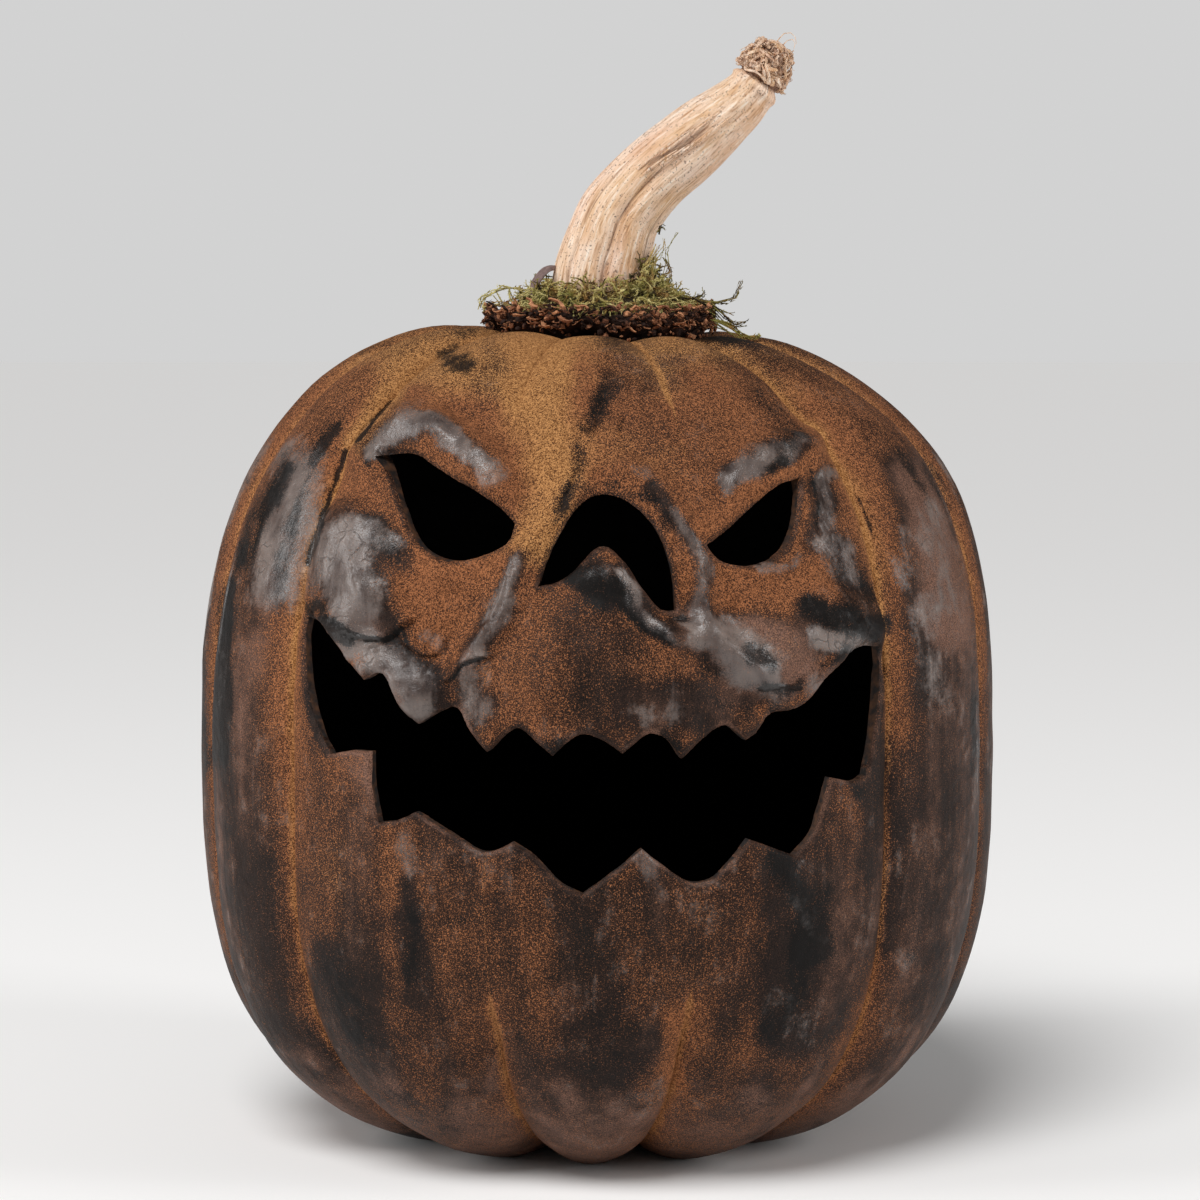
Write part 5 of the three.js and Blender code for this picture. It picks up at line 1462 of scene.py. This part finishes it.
def makeMoss():
    core = closedBall("moss_ring", moss["columns"], moss["rings"])
    azimuth, share = ballPlaces(rawPlaces(core))
    angle = np.radians(azimuth)
    around = share * 2 * math.pi  # the ball's poles meet under the ring, at its inner edge
    half = (mossOuter(azimuth) - moss["inner"]) / 2 - 2
    radius = moss["inner"] + 2 + half * (1 - np.cos(around))
    upper = np.clip(np.sin(around), 0, 1)
    flat = np.stack([radius * np.sin(angle), -radius * np.cos(angle), 0 * angle], -1)
    rough = sum(high * noiseAt(flat, size, 41) for size, high in moss["lumps"])
    top = mossTop(radius, azimuth)[0] - 2.2 + rough
    domed = moss["bottom"] + (top - moss["bottom"]) * upper ** 0.5
    height = np.where(np.sin(around) > 0, domed, moss["bottom"])
    moveTo(core, np.column_stack([flat[:, :2], height]))
    addNumbers(core, "tint", -0.02)
    pieces = [core]
    models = [straightSprig(f"sprig_{i}", moss["leaflets"], i) for i in range(4)]
    for i in range(moss["sprigs"]):
        turn = (i * 137.508 + random.uniform(-4, 4) + 180) % 360 - 180
        climbs = i % 9 == 0
        if climbs:
            turn = random.gauss(moss["climb"][0], 22)
        at = math.radians(turn)
        width = float(mossOuter(turn)) - 1 - moss["from"]
        reach = moss["from"] + width * random.random() ** (2.0 if climbs else 0.85)
        reach += 2.4 * float(noiseAt([(10 * math.sin(at), 10 * math.cos(at), 0)], 3, 50)[0]) * (reach > 30)
        out = np.array([math.sin(at), -math.cos(at), 0.0])
        aside = np.array([math.cos(at), math.sin(at), 0.0])
        top, climb = mossTop(reach, turn)
        level = float(top) - random.uniform(0.6, 2.6) - random.random() * float(climb)
        heading = out * random.uniform(-0.2, 1.1) + aside * random.uniform(-1.3, 1.3)
        heading = heading + (0, 0, random.uniform(-0.1, 0.8))
        beyond, droop, deeper = moss["hang"]
        if reach > beyond:
            heading = heading + 0.9 * out - (0, 0, droop)
        length = random.uniform(*moss["sprigLength"])
        path = [out * reach + (0, 0, level)]
        for _ in range(4):
            heading = heading / np.linalg.norm(heading)
            path.append(path[-1] + heading * length / 4)
            heading = heading + anyWay(moss["curl"]) + (0, 0, random.uniform(-0.45, 0.2))
        path = np.array(path)
        lowest = moss["bottom"] + 2.0 - deeper * (reach > beyond)
        path[:, 2] = np.maximum(path[:, 2], lowest)
        sprig = layAlong(copyOf(random.choice(models)), path, random.uniform(0.8, 1.5))
        addNumbers(sprig, "tint", random.choice((0.05, 0.25, 0.4, 0.55, 0.75)) + random.uniform(-0.08, 0.08))
        pieces.append(sprig)
    for uv, (near, far), thick, tint, strands in moss["long"]:
        path = fromCard(uv, np.linspace(near, far, len(uv)))
        for strandIndex in range(strands):
            shift = np.array([anyWay(0.7 + 0.25 * strandIndex) for _ in range(len(path))])
            sprig = layAlong(copyOf(random.choice(models)), path + shift, thick * random.uniform(0.7, 1.1))
            addNumbers(sprig, "tint", tint + random.uniform(-0.12, 0.12))
            pieces.append(sprig)
    for model in models:
        removePiece(model)
    ring = joinAll("moss_ring", pieces)
    dress(ring, makeMossMaterial(), 50)
    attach(ring, "root")
    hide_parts("moss")
    print("moss made:", len(ring.data.polygons), "faces")


# one curled dry leaf in the moss

dryLeaf = {
    "rib": [(-25.6, 115.5), (-24.4, 120.3), (-22.0, 124), (-19.2, 126.0), (-16.4, 126.4)],
    "depth": (-9.0, -3.0), "width": 6.0, "thick": 0.5, "curl": 1.6, "lean": 0.4,
}


def makeLeafMaterial():  # dried, purple-brown leaf with a faint sheen
    m = newMaterial("dried_leaf")
    place = addNode(m, "ShaderNodeTexCoord").outputs["Object"]
    vein = addNode(m, "ShaderNodeTexNoise", {"Vector": place, "Scale": 1 / (1.5 * mm), "Detail": 3})
    colour = addNode(m, "ShaderNodeMix", {0: vein, 6: "#3a2b2f", 7: "#9a8078"}, data_type="RGBA")
    bump = addNode(m, "ShaderNodeBump", {"Height": vein, "Strength": 0.5, "Distance": 0.3 * mm})
    shader = addNode(m, "ShaderNodeBsdfPrincipled",
                     {"Base Color": colour, "Roughness": 0.55, "Normal": bump})
    addNode(m, "ShaderNodeOutputMaterial", {"Surface": shader})
    return m


def makeDryLeaf():
    bpy.ops.object.select_all(action="DESELECT")
    bpy.ops.mesh.primitive_grid_add(x_subdivisions=26, y_subdivisions=8, size=2)
    blade = bpy.context.object
    blade.name = "dry_leaf_blade"
    grid = rawPlaces(blade)
    share = (grid[:, 0] + 1) / 2
    rib = dryLeaf["rib"]
    line, _ = curveThrough(fromCard(rib, np.linspace(*dryLeaf["depth"], len(rib))), share)
    half = dryLeaf["width"] / 2 * (0.12 + np.sin(math.pi * np.clip(share * 0.92 + 0.04, 0, 1)) ** 0.7)
    across = grid[:, 1] * half
    curl = dryLeaf["curl"] * grid[:, 1] ** 2
    lean = dryLeaf["lean"] * across
    line += np.stack([-0.5 * curl - 0.5 * lean, across, lean - 0.6 * curl + 0.3 * np.sin(9 * share)], -1)
    moveTo(blade, line)
    applyModifier(blade, "SOLIDIFY", thickness=dryLeaf["thick"] * mm, offset=0.0)
    dress(blade, makeLeafMaterial(), 50)
    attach(blade, "root")
    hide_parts("dry_leaf")
    print("leaf made")


# floor, light and background

studio = {
    "ambient": 0.14, "backdrop": 0.645, "floor": "#faf9f8",
    "sun": ((-0.3, -0.62, 1.0), 30, 2.15),  # direction it comes from, width in degrees, strength
    "lights": [  # name, place in metres, width and height in metres, watts
        ("left_softbox", (-1.65, -0.5, 0.8), (0.5, 1.2), 14),
        ("right_softbox", (1.65, -0.55, 0.75), (0.5, 1.2), 13),
    ],
}


def makeStudio():
    world = bpy.data.worlds.new("pale_studio")
    bpy.context.scene.world = world
    world.use_nodes = True
    tree = world.node_tree
    background = tree.nodes["Background"]
    background.inputs["Color"].default_value = (1, 1, 1, 1)
    seen = tree.nodes.new("ShaderNodeLightPath")  # the backdrop is pale, the room's light is soft
    level = tree.nodes.new("ShaderNodeMapRange")
    level.inputs["To Min"].default_value = studio["ambient"]
    level.inputs["To Max"].default_value = studio["backdrop"]
    tree.links.new(seen.outputs["Is Camera Ray"], level.inputs["Value"])
    tree.links.new(level.outputs["Result"], background.inputs["Strength"])
    comesFrom, width, strength = studio["sun"]
    data = bpy.data.lights.new("overhead_silk", "SUN")
    data.energy = strength
    data.angle = math.radians(width)
    sun = bpy.data.objects.new("overhead_silk", data)
    bpy.context.scene.collection.objects.link(sun)
    sun.rotation_euler = (-Vector(comesFrom)).to_track_quat("-Z", "Y").to_euler()
    for name, place, size, watts in studio["lights"]:
        data = bpy.data.lights.new(name, "AREA")
        data.energy = watts
        data.shape = "RECTANGLE"
        data.size, data.size_y = size
        light = bpy.data.objects.new(name, data)
        bpy.context.scene.collection.objects.link(light)
        light.location = place
        aim = Vector((0, 0, 0.18)) - Vector(place)
        light.rotation_euler = aim.to_track_quat("-Z", "Y").to_euler()
    bpy.ops.object.select_all(action="DESELECT")
    bpy.ops.mesh.primitive_plane_add(size=16)
    floor = bpy.context.object
    floor.name = "studio_floor"
    m = newMaterial("pale_paper_sweep")
    shader = addNode(m, "ShaderNodeBsdfPrincipled", {"Base Color": studio["floor"], "Roughness": 0.95})
    addNode(m, "ShaderNodeOutputMaterial", {"Surface": shader})
    floor.data.materials.append(m)
    bpy.context.scene.view_settings.view_transform = "Standard"


makeCamera()
makeStudio()
print("studio ready")
shellPiece = makeShell()
shellTree = treeOf(shellPiece)
makeStem()
makeFibreMat(shellTree)
makeMoss()
makeDryLeaf()
